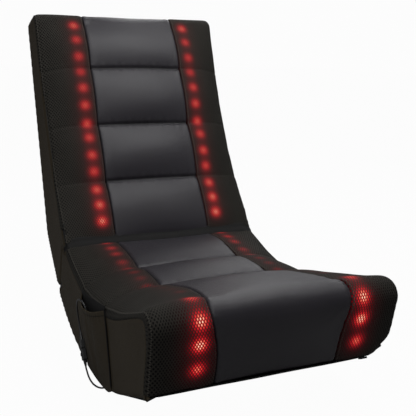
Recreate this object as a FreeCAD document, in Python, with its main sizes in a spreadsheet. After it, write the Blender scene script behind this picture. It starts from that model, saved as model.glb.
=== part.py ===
import FreeCAD, Part
import math
import os

# Folding floor rocker chair. X runs across it, it faces -Y, Z is up, millimetres.
# It rests on a short flat of its curved underside, whose middle is the origin.
# Left and right are the sitter's: left is +X.

Vec = FreeCAD.Vector
doc = FreeCAD.newDocument("rocker_chair")
sheet = doc.addObject("Spreadsheet::Sheet", "Sizes")

SIZES = [
    ("overall_width", 430.0, "over both side covers"),
    ("cover_thickness", 3.0, "side boxing with its backing"),
    ("wrap_thickness", 2.0, "fabric that wraps the underside and the rear"),
    ("fit_gap", 0.3, "between neighbours that touch"),
    ("rocker_radius", 516.5, "curve of the underside"),
    ("rest_flat_depth", 0.8, "how deep the curve is cut flat to rest"),
    ("front_rise_angle", 24.0, "slope where the curve runs out to the front"),
    ("rear_rise_angle", 25.6, "slope where the curve runs out to the rear"),
    ("run_out", 20.0, "least straight run from the curve to its end corners"),
    ("front_bottom_y", -338.0, "lower front edge"),
    ("front_corner_y", -368.0, "corner of the front roll before rounding"),
    ("front_corner_z", 250.0, "corner of the front roll before rounding"),
    ("front_roll_radius", 30.0, "rounding of the front roll"),
    ("seat_rise_y", -150.0, "where the seat edge starts to rise"),
    ("seat_rise_z", 167.0, "height of that point"),
    ("seat_rise_radius", 450.0, "hollow at that point"),
    ("seat_dip_y", 30.0, "lowest point of the seat edge"),
    ("seat_dip_z", 141.0, "height of that point"),
    ("seat_dip_radius", 350.0, "hollow at that point"),
    ("fold_y", 169.0, "fold axis, just under the crease"),
    ("fold_z", 193.5, "fold axis, just under the crease"),
    ("side_crease_y", 179.5, "crease at the side covers"),
    ("side_crease_z", 193.0, "crease at the side covers"),
    ("shoulder_y", 203.0, "shoulder of the joint between seat and back"),
    ("shoulder_z", 178.0, "shoulder of the joint between seat and back"),
    ("shoulder_radius", 18.0, "rounding of that shoulder"),
    ("notch_y", 230.5, "lower end of the joint between seat and back"),
    ("notch_z", 99.0, "lower end of the joint between seat and back"),
    ("heel_y", 251.0, "rear corner of the seat"),
    ("heel_rise", 19.0, "height of the rear end of the seat"),
    ("heel_radius", 8.0, "rounding of the rear corner"),
    ("split_gap", 0.8, "running gap between seat and back"),
    ("back_top_y", 425.0, "front top corner of the back before rounding"),
    ("back_top_z", 672.0, "front top corner of the back before rounding"),
    ("back_top_radius", 25.0, "rounding of that corner"),
    ("back_rear_y", 521.0, "rear top corner of the back before rounding"),
    ("back_rear_z", 646.0, "rear top corner of the back before rounding"),
    ("back_rear_radius", 14.0, "rounding of that corner"),
    ("back_bow", 24.0, "how far the front edge of the side bows back"),
    ("back_belly_y", 366.0, "where the rear turns under"),
    ("back_belly_z", 168.0, "where the rear turns under"),
    ("back_belly_radius", 70.0, "rounding of that turn"),
    ("back_toe_y", 262.0, "lower tip of the back before rounding"),
    ("back_toe_z", 75.0, "lower tip of the back before rounding"),
    ("back_toe_radius", 16.0, "rounding of the tip"),
    ("panel_half_width", 107.8, "centre pad, middle to seam"),
    ("seat_stitch_one_y", 23.5, "first cross seam of the seat"),
    ("seat_stitch_two_y", -105.5, "second cross seam of the seat"),
    ("seat_roll_y", -312.0, "where the front roll begins"),
    ("seat_roll_end_z", 192.0, "where the front roll ends"),
    ("seat_crown", 29.0, "centre pad over the seat edge at the first seam"),
    ("seat_crown_two", 24.0, "the same at the second seam"),
    ("seat_crown_roll", 6.0, "the same at the front roll"),
    ("seat_bulge", 11.0, "fullness of the seat panels between seams"),
    ("back_stitch_one_z", 310.0, "first cross seam of the back"),
    ("back_stitch_two_z", 426.0, "second cross seam of the back"),
    ("back_stitch_three_z", 548.0, "third cross seam of the back"),
    ("back_crown_one", 23.0, "centre pad in front of the side edge at the first seam"),
    ("back_crown", 30.0, "the same at the seams above"),
    ("back_crown_top", 8.0, "the same at the top"),
    ("back_bulge", 14.0, "fullness of the back channels between seams"),
    ("deck_knee_y", -10.0, "where the two deck boards meet"),
    ("deck_knee_z", 92.0, "height of that joint"),
    ("deck_rear_y", 152.0, "rear end of the deck"),
    ("deck_rear_z", 135.8, "rear end of the deck"),
    ("deck_front_z", 118.0, "front end of the deck"),
    ("front_pad_depth", 68.0, "padding of the front face"),
    ("seat_board_thickness", 15.0, "plywood rocker sides"),
    ("deck_thickness", 9.0, "plywood deck boards"),
    ("rail_thickness", 18.0, "rails of the seat and the back"),
    ("front_rail_thickness", 38.0, "front rail"),
    ("middle_rail_height", 40.0, "rail under the deck joint"),
    ("back_pad_depth", 4.0, "padding behind the deepest point of the side edge"),
    ("support_thickness", 3.0, "fibreboard behind the back pads"),
    ("back_rail_height", 34.0, "rails of the back"),
    ("top_rail_inset", 13.0, "top rail below the upper end of the boards"),
    ("back_board_thickness", 6.0, "board sides of the back"),
    ("hinge_leaf_thickness", 1.5, "butt hinge"),
    ("hinge_leaf_length", 34.0, "from the axis to the free edge"),
    ("hinge_width", 70.0, "butt hinge along the fold"),
    ("hinge_inset", 110.0, "middle of a hinge from the side of the chair"),
    ("knuckle_radius", 3.2, "outside of the hinge barrel"),
    ("hinge_pin_radius", 1.5, "hinge pin"),
    ("pin_play", 0.2, "round the hinge pin in the moving knuckles"),
    ("knuckle_play", 0.5, "between knuckles"),
    ("screw_head_radius", 3.4, "hinge screws"),
    ("screw_radius", 1.7, "hinge screws"),
    ("screw_length", 14.0, "hinge screws"),
    ("screw_spacing", 44.0, "between the two screws of a leaf"),
    ("light_offset", 131.9, "row of lights from the middle of the chair"),
    ("light_pitch", 38.15, "from one light to the next"),
    ("light_depth", 5.0, "tape under the line of the seams"),
    ("tape_width", 10.0, "light tape"),
    ("tape_thickness", 1.0, "light tape"),
    ("diode_radius", 3.6, "diffuser over a diode"),
    ("diode_height", 2.6, "diffuser over a diode"),
    ("fold_limit_clearance", 3.0, "degrees left between the pads when folded"),
    ("fold_angle", 95.0, "how far the back folds forward"),
    ("fold_seat_angle", 177.0, "upper face of the seat at the crease"),
    ("pocket_fabric", 1.6, "pocket panel"),
    ("pocket_mouth_gape", 15.0, "how far the mouth stands open"),
    ("pocket_middle_gape", 12.0, "fullness half way down"),
    ("pocket_hem_radius", 1.6, "rolled hem of the mouth"),
    ("lead_diameter", 3.2, "lead of the lights"),
    ("controller_width", 13.0, "inline controller"),
    ("controller_depth", 9.0, "inline controller"),
    ("controller_length", 22.0, "inline controller"),
    ("button_radius", 3.4, "button of the controller"),
    ("button_travel", 1.0, "button of the controller"),
    ("button_play", 0.25, "round the button"),
    ("zip_tape_width", 26.0, "tape of the zip under the front edge"),
    ("zip_tooth_width", 5.0, "closed coil of the zip"),
    ("zip_length", 380.0, "zip under the front edge"),
    ("zip_slider_x", 176.0, "slider when the zip is closed"),
]

for row, (alias, value, note) in enumerate(SIZES, start=1):
    sheet.set("A%d" % row, alias)
    sheet.set("B%d" % row, repr(value))
    sheet.set("C%d" % row, note)
    sheet.setAlias("B%d" % row, alias)
doc.recompute()


def size(alias):
    return float(sheet.get(alias))


sub_parts = []
cord_report = []


def keep(obj, label):
    """Name a finished sub-part and note it for the files."""
    obj.Label = label
    sub_parts.append(obj)
    return obj


def feature(label, shape):
    """A sub-part whose shape is worked out below, as one solid or a group of solids."""
    obj = doc.addObject("Part::Feature", label)
    obj.Shape = shape
    obj.Placement = shape.Placement
    return keep(obj, label)


# Outlines are lists of corners (y, z, rounding) in the plane of the side, counterclockwise
# as seen with Y to the right, so that a positive inset moves the outline inwards.

def direction(start, end):
    dy = end[0] - start[0]
    dz = end[1] - start[1]
    length = math.hypot(dy, dz)
    return dy / length, dz / length


def inset(corners, distance, closed=True):
    """Move every side of an outline inwards and keep its roundings concentric."""
    moved = []
    count = len(corners)
    for i, (y, z, radius) in enumerate(corners):
        before = corners[i - 1]
        after = corners[(i + 1) % count]
        come = direction(before, (y, z)) if closed or i > 0 else direction((y, z), after)
        leave = direction((y, z), after) if closed or i < count - 1 else come
        turn = come[0] * leave[1] - come[1] * leave[0]
        across = distance / (1 + come[0] * leave[0] + come[1] * leave[1])
        new_y = y - across * (come[1] + leave[1])
        new_z = z + across * (come[0] + leave[0])
        new_radius = 0.0
        if radius > 0:
            new_radius = max(radius - math.copysign(distance, turn), 0.0)
        moved.append((new_y, new_z, new_radius))
    return moved


def outline(corners, closed=True, flat_depth=0.0):
    """Lines and tangent arcs of an outline, as tuples of 2 or 3 points (y, z)."""
    count = len(corners)
    starts = []
    ends = []
    arcs = []
    for i, (y, z, radius) in enumerate(corners):
        open_end = not closed and i in (0, count - 1)
        if radius <= 0.01 or open_end:
            starts.append((y, z))
            ends.append((y, z))
            arcs.append(None)
            continue
        come = direction(corners[i - 1], (y, z))
        leave = direction((y, z), corners[(i + 1) % count])
        cosine = max(-1.0, min(1.0, come[0] * leave[0] + come[1] * leave[1]))
        half = math.acos(cosine) / 2
        tangent = radius * math.tan(half)
        sag = radius / math.cos(half) - radius
        inward = (leave[0] - come[0], leave[1] - come[1])
        norm = math.hypot(*inward)
        inward = (inward[0] / norm, inward[1] / norm)
        start = (y - come[0] * tangent, z - come[1] * tangent)
        end = (y + leave[0] * tangent, z + leave[1] * tangent)
        middle = (y + inward[0] * sag, z + inward[1] * sag)
        centre = (middle[0] + inward[0] * radius, middle[1] + inward[1] * radius)
        starts.append(start)
        ends.append(end)
        convex = come[0] * leave[1] - come[1] * leave[0] > 0
        rocker = convex and radius > size("rocker_radius") / 2
        arcs.append((start, middle, end, centre, radius, rocker))
    pieces = []
    last = count if closed else count - 1
    for i in range(count):
        if arcs[i]:
            start, middle, end, centre, radius, rocker = arcs[i]
            if flat_depth > 0 and rocker:
                drop = radius - flat_depth
                half_flat = math.sqrt(radius ** 2 - drop ** 2)
                left = (centre[0] - half_flat, centre[1] - drop)
                right = (centre[0] + half_flat, centre[1] - drop)
                pieces.append((start, arc_middle(start, left, centre, radius), left))
                pieces.append((left, right))
                pieces.append((right, arc_middle(right, end, centre, radius), end))
            else:
                pieces.append((start, middle, end))
        if i < last:
            following = starts[(i + 1) % count]
            if math.dist(ends[i], following) > 1e-4:
                pieces.append((ends[i], following))
    return pieces


def arc_middle(start, end, centre, radius):
    """Point half way along the arc between two points of one circle."""
    middle = ((start[0] + end[0]) / 2 - centre[0], (start[1] + end[1]) / 2 - centre[1])
    length = math.hypot(*middle)
    return centre[0] + middle[0] / length * radius, centre[1] + middle[1] / length * radius


def edges_at(pieces, x):
    """Edges of an outline in the plane at x."""
    edges = []
    for piece in pieces:
        points = [Vec(x, y, z) for y, z in piece]
        if len(points) == 2:
            edges.append(Part.LineSegment(*points).toShape())
        else:
            edges.append(Part.Arc(*points).toShape())
    return edges


def slab(pieces, low, high):
    """The closed outline, from x = low to x = high."""
    face = Part.Face(Part.Wire(edges_at(pieces, low)))
    return face.extrude(Vec(high - low, 0, 0))


def band(corners, near, far, low, high, flat_depth=0.0):
    """Strip along an open outline, from one inset of it to another."""
    inner = outline(inset(corners, near, False), False, flat_depth)
    outer = outline(inset(corners, far, False), False, flat_depth)
    back_way = [tuple(reversed(piece)) for piece in reversed(outer)]
    ring = inner + [(inner[-1][-1], back_way[0][0])] + back_way + [(back_way[-1][-1], inner[0][0])]
    return slab(ring, low, high)


def origin_plane(body, role):
    for item in body.Origin.OriginFeatures:
        if item.Role == role:
            return item
    raise RuntimeError("no plane " + role)


def side_sketch(body, name, pieces, start):
    """Sketch in the plane of the side, at the x that the expression start gives."""
    sketch = body.newObject("Sketcher::SketchObject", name)
    sketch.AttachmentSupport = (origin_plane(body, "YZ_Plane"), [""])
    sketch.MapMode = "FlatFace"
    sketch.setExpression("AttachmentOffset.Base.z", start)
    for piece in pieces:
        points = [Vec(y, z, 0) for y, z in piece]
        if len(points) == 2:
            sketch.addGeometry(Part.LineSegment(*points), False)
        else:
            sketch.addGeometry(Part.Arc(*points), False)
    return sketch


def board(label, pieces, start, thickness):
    """Board cut to an outline: start and thickness are expressions along x."""
    body = doc.addObject("PartDesign::Body", label)
    sketch = side_sketch(body, label + "_outline", pieces, start)
    pad = body.newObject("PartDesign::Pad", label + "_pad")
    pad.Profile = sketch
    pad.setExpression("Length", thickness)
    sketch.Visibility = False
    body.Label = label
    return body


def plate(label, pieces, start, thickness):
    return keep(board(label, pieces, start, thickness), label)


def drilled(label, blank, drills):
    """A board with the holes of its screws."""
    bits = doc.addObject("Part::Feature", label + "_holes")
    bits.Shape = Part.makeCompound(drills)
    cut = doc.addObject("Part::Cut", label)
    cut.Base = blank
    cut.Tool = bits
    return keep(cut, label)


# Driving outline of the seat, seen from the side

fold_axis = (size("fold_y"), size("fold_z"))
rocker_centre_z = size("rocker_radius") - size("rest_flat_depth")


def slope_at(alias, y):
    """Angle at which the rocker curve runs out: less where a wide curve would pass the corner at y."""
    widest = math.asin(min(1.0, abs(y) / size("rocker_radius")))
    return min(math.radians(size(alias)), widest)


def rocker_tangent(angle, y):
    """Height at y of the straight line that leaves the rocker curve at an angle."""
    touch_y = size("rocker_radius") * math.sin(angle)
    touch_z = rocker_centre_z - size("rocker_radius") * math.cos(angle)
    return touch_z + (abs(y) - touch_y) * math.tan(angle)


front_angle = slope_at("front_rise_angle", size("front_bottom_y") + size("run_out"))
rear_angle = slope_at("rear_rise_angle", size("heel_y") - size("run_out"))
half_turn = (front_angle + rear_angle) / 2
lean = (rear_angle - front_angle) / 2
reach = size("rocker_radius") / math.cos(half_turn)
heel_bottom_z = rocker_tangent(rear_angle, size("heel_y"))

seat_outline = [
    (size("side_crease_y"), size("side_crease_z"), 0),
    (size("seat_dip_y"), size("seat_dip_z"), size("seat_dip_radius")),
    (size("seat_rise_y"), size("seat_rise_z"), size("seat_rise_radius")),
    (size("front_corner_y"), size("front_corner_z"), size("front_roll_radius")),
    (size("front_bottom_y"), rocker_tangent(front_angle, size("front_bottom_y")), 5),
    (reach * math.sin(lean), rocker_centre_z - reach * math.cos(lean), size("rocker_radius")),
    (size("heel_y"), heel_bottom_z, size("heel_radius")),
    (size("heel_y") - 1, heel_bottom_z + size("heel_rise"), size("heel_radius")),
    (size("notch_y"), size("notch_z"), 3),
    (size("shoulder_y"), size("shoulder_z"), size("shoulder_radius")),
]
CREASE, DIP, RISE, FRONT_TOP, FRONT_BOTTOM, ROCKER, HEEL, HEEL_TOP, NOTCH, SHOULDER = range(10)

# Driving outline of the back, in the same plane

gap = size("split_gap")
bow_start = (size("side_crease_y") + gap, size("side_crease_z") + gap / 2)
bow_end = (size("back_top_y"), size("back_top_z"))
bow_way = direction(bow_start, bow_end)
bow_half = math.dist(bow_start, bow_end) / 2
bow_corner = (
    (bow_start[0] + bow_end[0]) / 2 + bow_way[1] * 2 * size("back_bow"),
    (bow_start[1] + bow_end[1]) / 2 - bow_way[0] * 2 * size("back_bow"),
)
bow_radius = 0.85 * bow_half * bow_half / (2 * size("back_bow"))

back_outline = [
    (bow_start[0], bow_start[1], 0),
    (size("shoulder_y") + gap, size("shoulder_z") + gap / 2, size("shoulder_radius")),
    (size("notch_y") + gap, size("notch_z") + gap / 2, 3),
    (size("back_toe_y"), size("back_toe_z"), size("back_toe_radius")),
    (size("back_belly_y"), size("back_belly_z"), size("back_belly_radius")),
    (size("back_rear_y"), size("back_rear_z"), size("back_rear_radius")),
    (size("back_top_y"), size("back_top_z"), size("back_top_radius")),
    (bow_corner[0], bow_corner[1], bow_radius),
]

flat = size("rest_flat_depth")
half_width = size("overall_width") / 2
inner_half = half_width - size("cover_thickness") - size("fit_gap")
play = size("fit_gap")

# Points measured from the fold axis: along the upper joint face, and up out of it

joint_way = direction(fold_axis, (size("shoulder_y"), size("shoulder_z")))


def fold_point(along, up):
    y = fold_axis[0] + along * joint_way[0] - up * joint_way[1]
    z = fold_axis[1] + along * joint_way[1] + up * joint_way[0]
    return y, z


def meet(first, second, third, fourth):
    """Where the line through two points crosses the line through two others."""
    way = direction(first, second)
    other = direction(third, fourth)
    cross = way[0] * other[1] - way[1] * other[0]
    reach_on = ((third[0] - first[0]) * other[1] - (third[1] - first[1]) * other[0]) / cross
    return first[0] + way[0] * reach_on, first[1] + way[1] * reach_on


def corner(point, radius=0.0):
    return point[0], point[1], radius


def fold_slab(along_start, up_start, along_end, up_end, low, high):
    """Block set in the fold's own directions."""
    corners = [fold_point(along_start, up_start), fold_point(along_end, up_start),
               fold_point(along_end, up_end), fold_point(along_start, up_end)]
    return slab(outline([corner(point) for point in corners]), low, high)


def crossing(corners, y=None, z=None):
    """Where an open outline passes a given y or a given z."""
    wire = Part.Wire(edges_at(outline(corners, False), 0))
    far = 2000
    if z is None:
        ruler = Part.makeLine(Vec(0, y, -far), Vec(0, y, far))
    else:
        ruler = Part.makeLine(Vec(0, -far, z), Vec(0, far, z))
    point = wire.distToShape(ruler)[1][0][0]
    return point.y, point.z


# Seat boards: plywood rocker sides, deck in two boards, three rails

under_wrap = size("wrap_thickness") + play
seat_skin = inset(seat_outline, under_wrap)
leaf_face = play / 2 + size("hinge_leaf_thickness")
ear_start = size("knuckle_radius") + 2
ear_end = size("hinge_leaf_length")
rail_depth = size("back_rail_height")
front_face = inset(seat_outline[FRONT_TOP:FRONT_BOTTOM + 1], size("front_pad_depth"), False)
deck_knee = (size("deck_knee_y"), size("deck_knee_z"))
deck_rear = (size("deck_rear_y"), size("deck_rear_z"))
level = size("deck_front_z")
deck_front = meet(front_face[0], front_face[1], (0, level), (-1, level))
front_foot = meet(front_face[0], front_face[1], seat_skin[FRONT_BOTTOM], seat_skin[ROCKER])

seat_board = [
    corner(fold_point(ear_end, -leaf_face)),
    corner(fold_point(ear_start, -leaf_face)),
    corner(fold_point(ear_start, -leaf_face - rail_depth)),
    corner(deck_rear),
    corner(deck_knee),
    corner(deck_front),
    corner(front_foot),
    seat_skin[ROCKER],
    seat_skin[HEEL],
    seat_skin[HEEL_TOP],
    corner(seat_skin[NOTCH]),
]

INNER_X = "(Sizes.overall_width / 2 - Sizes.cover_thickness - Sizes.fit_gap)"
SEAT_BAY = "(" + INNER_X + " - Sizes.seat_board_thickness)"
BACK_BAY = "(" + INNER_X + " - Sizes.back_board_thickness)"
seat_bay = inner_half - size("seat_board_thickness")
back_bay = inner_half - size("back_board_thickness")

seat_board_pieces = outline(seat_board, True, flat)
plate("seat_side_board_left", seat_board_pieces, SEAT_BAY, "Sizes.seat_board_thickness")
plate("seat_side_board_right", seat_board_pieces, "-" + INNER_X, "Sizes.seat_board_thickness")

rear_rail = [
    corner(fold_point(ear_start, -leaf_face)),
    corner(fold_point(ear_start, -leaf_face - rail_depth), 2),
    corner(fold_point(ear_end - 2, -leaf_face - rail_depth), 2),
    corner(fold_point(ear_end - 2, -leaf_face)),
]


def strip(start, end, near, far):
    """Closed outline of a straight board along a line, between two distances to its left."""
    first = inset([corner(start), corner(end)], near, False)
    second = inset([corner(start), corner(end)], far, False)
    return outline([first[0], first[1], second[1], second[0]][::-1])


def on_way(start, end, distance):
    way = direction(start, end)
    return start[0] + way[0] * distance, start[1] + way[1] * distance


deck_under = inset([corner(deck_knee), corner(deck_front)], size("deck_thickness") + play, False)
rail_front = [corner(deck_front), corner(front_foot)]
rail_back = inset(rail_front, size("front_rail_thickness"), False)
rail_floor = [seat_skin[FRONT_BOTTOM], seat_skin[ROCKER]]
front_rail = [corner(meet(*rail_front, *deck_under)), corner(meet(*rail_front, *rail_floor)),
              corner(meet(*rail_back, *rail_floor)), corner(meet(*rail_back, *deck_under))]
plate("seat_front_rail", outline(front_rail), "-" + SEAT_BAY, "2 * " + SEAT_BAY)
rear_rail_blank = board("seat_rear_rail_blank", outline(rear_rail), "-" + SEAT_BAY, "2 * " + SEAT_BAY)
plate("seat_deck_rear", strip(deck_rear, deck_knee, 0, size("deck_thickness")),
      "-" + SEAT_BAY, "2 * " + SEAT_BAY)
deck_stop = on_way(deck_front, deck_knee, size("deck_thickness") / 3)
plate("seat_deck_front", strip(deck_knee, deck_stop, 0, size("deck_thickness")),
      "-" + SEAT_BAY, "2 * " + SEAT_BAY)

middle_rail = doc.addObject("Part::Box", "seat_middle_rail")
middle_rail.setExpression("Length", "2 * " + SEAT_BAY)
middle_rail.setExpression("Width", "Sizes.rail_thickness")
middle_rail.setExpression("Height", "Sizes.middle_rail_height")
middle_rail.setExpression("Placement.Base.x", "-" + SEAT_BAY)
middle_rail.setExpression("Placement.Base.y", "Sizes.deck_knee_y - Sizes.rail_thickness / 2")
knee_slope = direction(deck_rear, deck_knee)
knee_drop = size("deck_thickness") / abs(knee_slope[0]) + play
middle_rail.setExpression("Placement.Base.z",
                          "Sizes.deck_knee_z - Sizes.middle_rail_height - %.3f" % knee_drop)
keep(middle_rail, "seat_middle_rail")

# Seat covers: boxing on both sides, one wrap from the front edge round the rocker to the fold

seat_pieces = outline(seat_outline, True, flat)
plate("seat_side_cover_left", seat_pieces, "Sizes.overall_width / 2 - Sizes.cover_thickness",
      "Sizes.cover_thickness")
plate("seat_side_cover_right", seat_pieces, "-Sizes.overall_width / 2", "Sizes.cover_thickness")

wrap_path = [corner(seat_outline[FRONT_BOTTOM])] + seat_outline[ROCKER:NOTCH + 1]
wrap_path.append(corner(seat_outline[SHOULDER]))
seat_wrap = band(wrap_path, 0, size("wrap_thickness"), -inner_half, inner_half, flat)

# Back boards: two sides, a fibreboard behind the pads, three rails

back_skin = inset(back_outline, under_wrap)
B_CREASE, B_SHOULDER, B_NOTCH, B_TOE, B_BELLY, B_REAR, B_TOP, B_BOW = range(8)
support_in = size("back_bow") + size("back_pad_depth")
support_line = inset([corner(bow_end), corner(bow_start)], support_in, False)
board_line = inset(support_line, size("support_thickness") + play, False)
rail_top = (fold_point(0, leaf_face + rail_depth), fold_point(1, leaf_face + rail_depth))
top_line = (back_skin[B_REAR], back_skin[B_TOP])
support_top = meet(*support_line, *top_line)
support_foot = meet(*support_line, *rail_top)
board_top = meet(*board_line, *top_line)
board_foot = meet(*board_line, *rail_top)
ear_tip = ear_start + 6

back_board = [
    corner(fold_point(ear_start + 2, leaf_face)),
    corner(meet(fold_point(0, leaf_face), fold_point(1, leaf_face),
                back_skin[B_SHOULDER], back_skin[B_NOTCH])),
    back_skin[B_NOTCH],
    back_skin[B_TOE],
    back_skin[B_BELLY],
    back_skin[B_REAR],
    corner(board_top),
    corner(board_foot),
    corner(fold_point(ear_tip, leaf_face + rail_depth)),
]
back_board_pieces = outline(back_board)
plate("back_side_board_left", back_board_pieces, BACK_BAY, "Sizes.back_board_thickness")
plate("back_side_board_right", back_board_pieces, "-" + INNER_X, "Sizes.back_board_thickness")

lower_rail = [
    corner(fold_point(ear_start + 2, leaf_face)),
    corner(fold_point(ear_end - 2, leaf_face)),
    corner(fold_point(ear_end - 2, leaf_face + rail_depth), 2),
    corner(fold_point(ear_tip, leaf_face + rail_depth), 2),
]
lower_rail_blank = board("back_lower_rail_blank", outline(lower_rail), "-" + BACK_BAY, "2 * " + BACK_BAY)

thick = size("rail_thickness")
board_way = (board_top, board_foot)
top_rail_start = on_way(*board_way, size("top_rail_inset"))
top_rail_end = on_way(*board_way, size("top_rail_inset") + rail_depth)
plate("back_top_rail", strip(top_rail_start, top_rail_end, 0, thick), "-" + BACK_BAY, "2 * " + BACK_BAY)
half_way = math.dist(board_top, board_foot) / 2
middle_start = on_way(*board_way, half_way)
middle_end = on_way(*board_way, half_way + rail_depth)
plate("back_middle_rail", strip(middle_start, middle_end, 0, thick), "-" + BACK_BAY, "2 * " + BACK_BAY)
plate("back_support_board", strip(support_top, support_foot, 0, size("support_thickness")),
      "-" + INNER_X, "2 * " + INNER_X)

# Back covers

back_pieces = outline(back_outline)
plate("back_side_cover_left", back_pieces, "Sizes.overall_width / 2 - Sizes.cover_thickness",
      "Sizes.cover_thickness")
plate("back_side_cover_right", back_pieces, "-Sizes.overall_width / 2", "Sizes.cover_thickness")
wrap_top = meet(*support_line, back_outline[B_REAR], back_outline[B_TOP])
back_path = [corner(back_outline[B_SHOULDER])] + back_outline[B_NOTCH:B_REAR + 1] + [corner(wrap_top)]
feature("back_rear_cover", band(back_path, 0, size("wrap_thickness"), -inner_half, inner_half))

# Pads: lofts through the section of the upholstery at several places across the chair

notch_reach = 250
fold_lower = math.radians(size("fold_seat_angle"))
fold_upper = fold_lower - math.radians(size("fold_angle") + size("fold_limit_clearance"))


def polar(angle, reach_out):
    return (fold_axis[0] + reach_out * math.cos(angle), fold_axis[1] + reach_out * math.sin(angle))


def open_fold():
    """Room in front of the fold axis that the pads leave free, so that the back can fold."""
    notch = [corner(fold_axis), corner(polar(fold_upper, notch_reach)),
             corner(polar(fold_lower, notch_reach))]
    wedge = slab(outline(notch), -half_width, half_width)
    barrel = Part.makeCylinder(size("knuckle_radius") + size("split_gap"), 2 * half_width,
                               Vec(-half_width, *fold_axis), Vec(1, 0, 0))
    leaves = fold_slab(0, -leaf_face - play, ear_start + 3, leaf_face + play, -half_width, half_width)
    return wedge.fuse(barrel).fuse(leaves)


def arc_over(start, end, sag):
    """Piece from start to end that bulges to the right of the way by sag, or a straight one."""
    if abs(sag) < 0.05:
        return [start, end]
    way = direction(start, end)
    middle = ((start[0] + end[0]) / 2 + way[1] * sag, (start[1] + end[1]) / 2 - way[0] * sag)
    return [start, middle, end]


def loft(sections):
    """Smooth closed form through sections [(x, pieces), ...]."""
    wires = [Part.Wire(edges_at(pieces, x)) for x, pieces in sections]
    return Part.makeLoft(wires, True, False)


seat_top_path = seat_outline[CREASE:FRONT_TOP + 1]
seat_front_path = seat_outline[RISE:FRONT_BOTTOM + 1]
roll_arc = outline(seat_front_path, False)[-2]
pad_foot_line = (seat_skin[FRONT_BOTTOM], seat_skin[ROCKER])
seat_bed = inset(seat_board, -play)[1:7]
seat_bed[-1] = corner(meet(seat_bed[-2], seat_bed[-1], *pad_foot_line))
pad_foot = meet(seat_outline[FRONT_TOP], seat_outline[FRONT_BOTTOM], *pad_foot_line)


def seat_section(rise, fullness):
    """Section of the seat upholstery: rise of its seams and fullness of its panels, as factors."""
    bulge = size("seat_bulge") * fullness
    first = crossing(seat_top_path, y=size("seat_stitch_one_y"))
    second = crossing(seat_top_path, y=size("seat_stitch_two_y"))
    roll = crossing(seat_top_path, y=size("seat_roll_y"))
    roll_end = crossing(seat_front_path[1:], z=size("seat_roll_end_z"))
    crown = size("seat_crown_roll") * rise
    one = (first[0], first[1] + size("seat_crown") * rise)
    two = (second[0], second[1] + size("seat_crown_two") * rise)
    three = (roll[0], roll[1] + crown)
    four = (roll_end[0] - crown / 4, roll_end[1])
    out = (roll_arc[1][0] - 0.4 * crown, roll_arc[1][1] + 0.5 * crown)
    hollow = -4 * (1 - rise)
    pieces = [
        arc_over(fold_axis, one, bulge + hollow),
        arc_over(one, two, bulge + hollow),
        arc_over(two, three, bulge + 2 * hollow),
        [three, out, four],
        arc_over(four, pad_foot, 2 * fullness + 0.5),
    ]
    bed = [(y, z) for y, z, _ in reversed(seat_bed)]
    stops = [pad_foot] + bed + [fold_axis]
    return pieces + [list(pair) for pair in zip(stops, stops[1:])]


back_front_path = [corner(wrap_top)] + back_outline[B_TOP:] + [corner(bow_start)]
back_top_arc = outline(back_front_path, False)[1]
back_bed = [
    corner(fold_point(ear_start + 2 - play, leaf_face)),
    corner(fold_point(ear_tip - play, leaf_face + rail_depth + play)),
    corner(on_way(support_foot, support_top, play)),
    corner(meet(*support_line, back_outline[B_REAR], back_outline[B_TOP])),
]


def back_section(rise, fullness):
    """Section of the back upholstery, from the top down the front to the crease."""
    bulge = size("back_bulge") * fullness
    one = crossing(back_front_path[1:], z=size("back_stitch_one_z"))
    two = crossing(back_front_path[1:], z=size("back_stitch_two_z"))
    three = crossing(back_front_path[1:], z=size("back_stitch_three_z"))
    one = (one[0] - size("back_crown_one") * rise, one[1])
    two = (two[0] - size("back_crown") * rise, two[1])
    three = (three[0] - size("back_crown") * rise, three[1])
    crown = size("back_crown_top") * rise
    brow = (back_top_arc[2][0] - crown, back_top_arc[2][1])
    over = (back_top_arc[1][0] - 0.5 * crown, back_top_arc[1][1] + 0.2 * crown)
    top = (back_bed[-1][0], back_bed[-1][1])
    hollow = -2 * (1 - rise)
    pieces = [
        [top, over, brow],
        arc_over(brow, three, bulge + hollow / 2),
        arc_over(three, two, bulge + hollow),
        arc_over(two, one, bulge + hollow),
        arc_over(one, fold_axis, bulge),
    ]
    stops = [fold_axis] + [(y, z) for y, z, _ in back_bed]
    return pieces + [list(pair) for pair in zip(stops, stops[1:])]


seam = size("panel_half_width")
half_gap = play / 2
# place across the chair, rise of the seams, fullness between them
CENTRE_CROWN = [(0.0, 1.12, 1.0), (0.55, 1.08, 0.95), (1.0, 1.0, 0.6)]
MESH_CROWN = [(0.0, 1.0, 0.55), (0.25, 1.0, 0.5), (0.55, 0.84, 0.35), (0.8, 0.5, 0.15), (1.0, 0.0, 0.0)]


def centre_pad(section):
    edge = seam - half_gap
    across = [(-edge * place, rise, full) for place, rise, full in reversed(CENTRE_CROWN)]
    across += [(edge * place, rise, full) for place, rise, full in CENTRE_CROWN[1:]]
    return loft([(x, section(rise, full)) for x, rise, full in across])


def mesh_pad(section, side):
    start = seam + half_gap
    width = inner_half - start
    across = [(side * (start + width * place), rise, full) for place, rise, full in MESH_CROWN]
    return loft([(x, section(rise, full)) for x, rise, full in across])


# Lights: a tape of diodes under each mesh pad, in a groove of the pad

def light_path_seat():
    one = crossing(seat_top_path, y=size("seat_stitch_one_y"))
    two = crossing(seat_top_path, y=size("seat_stitch_two_y"))
    start = (fold_axis[0] - 2 * size("tape_width"), fold_axis[1] - 1)
    end = on_way(seat_outline[FRONT_BOTTOM], seat_outline[FRONT_TOP], size("tape_width"))
    return [
        corner(start),
        corner((one[0], one[1] + size("seat_crown")), 200),
        corner((two[0], two[1] + size("seat_crown_two")), 300),
        corner((size("front_corner_y") + 1, size("front_corner_z") - 3), size("front_roll_radius")),
        corner(end),
    ]


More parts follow.
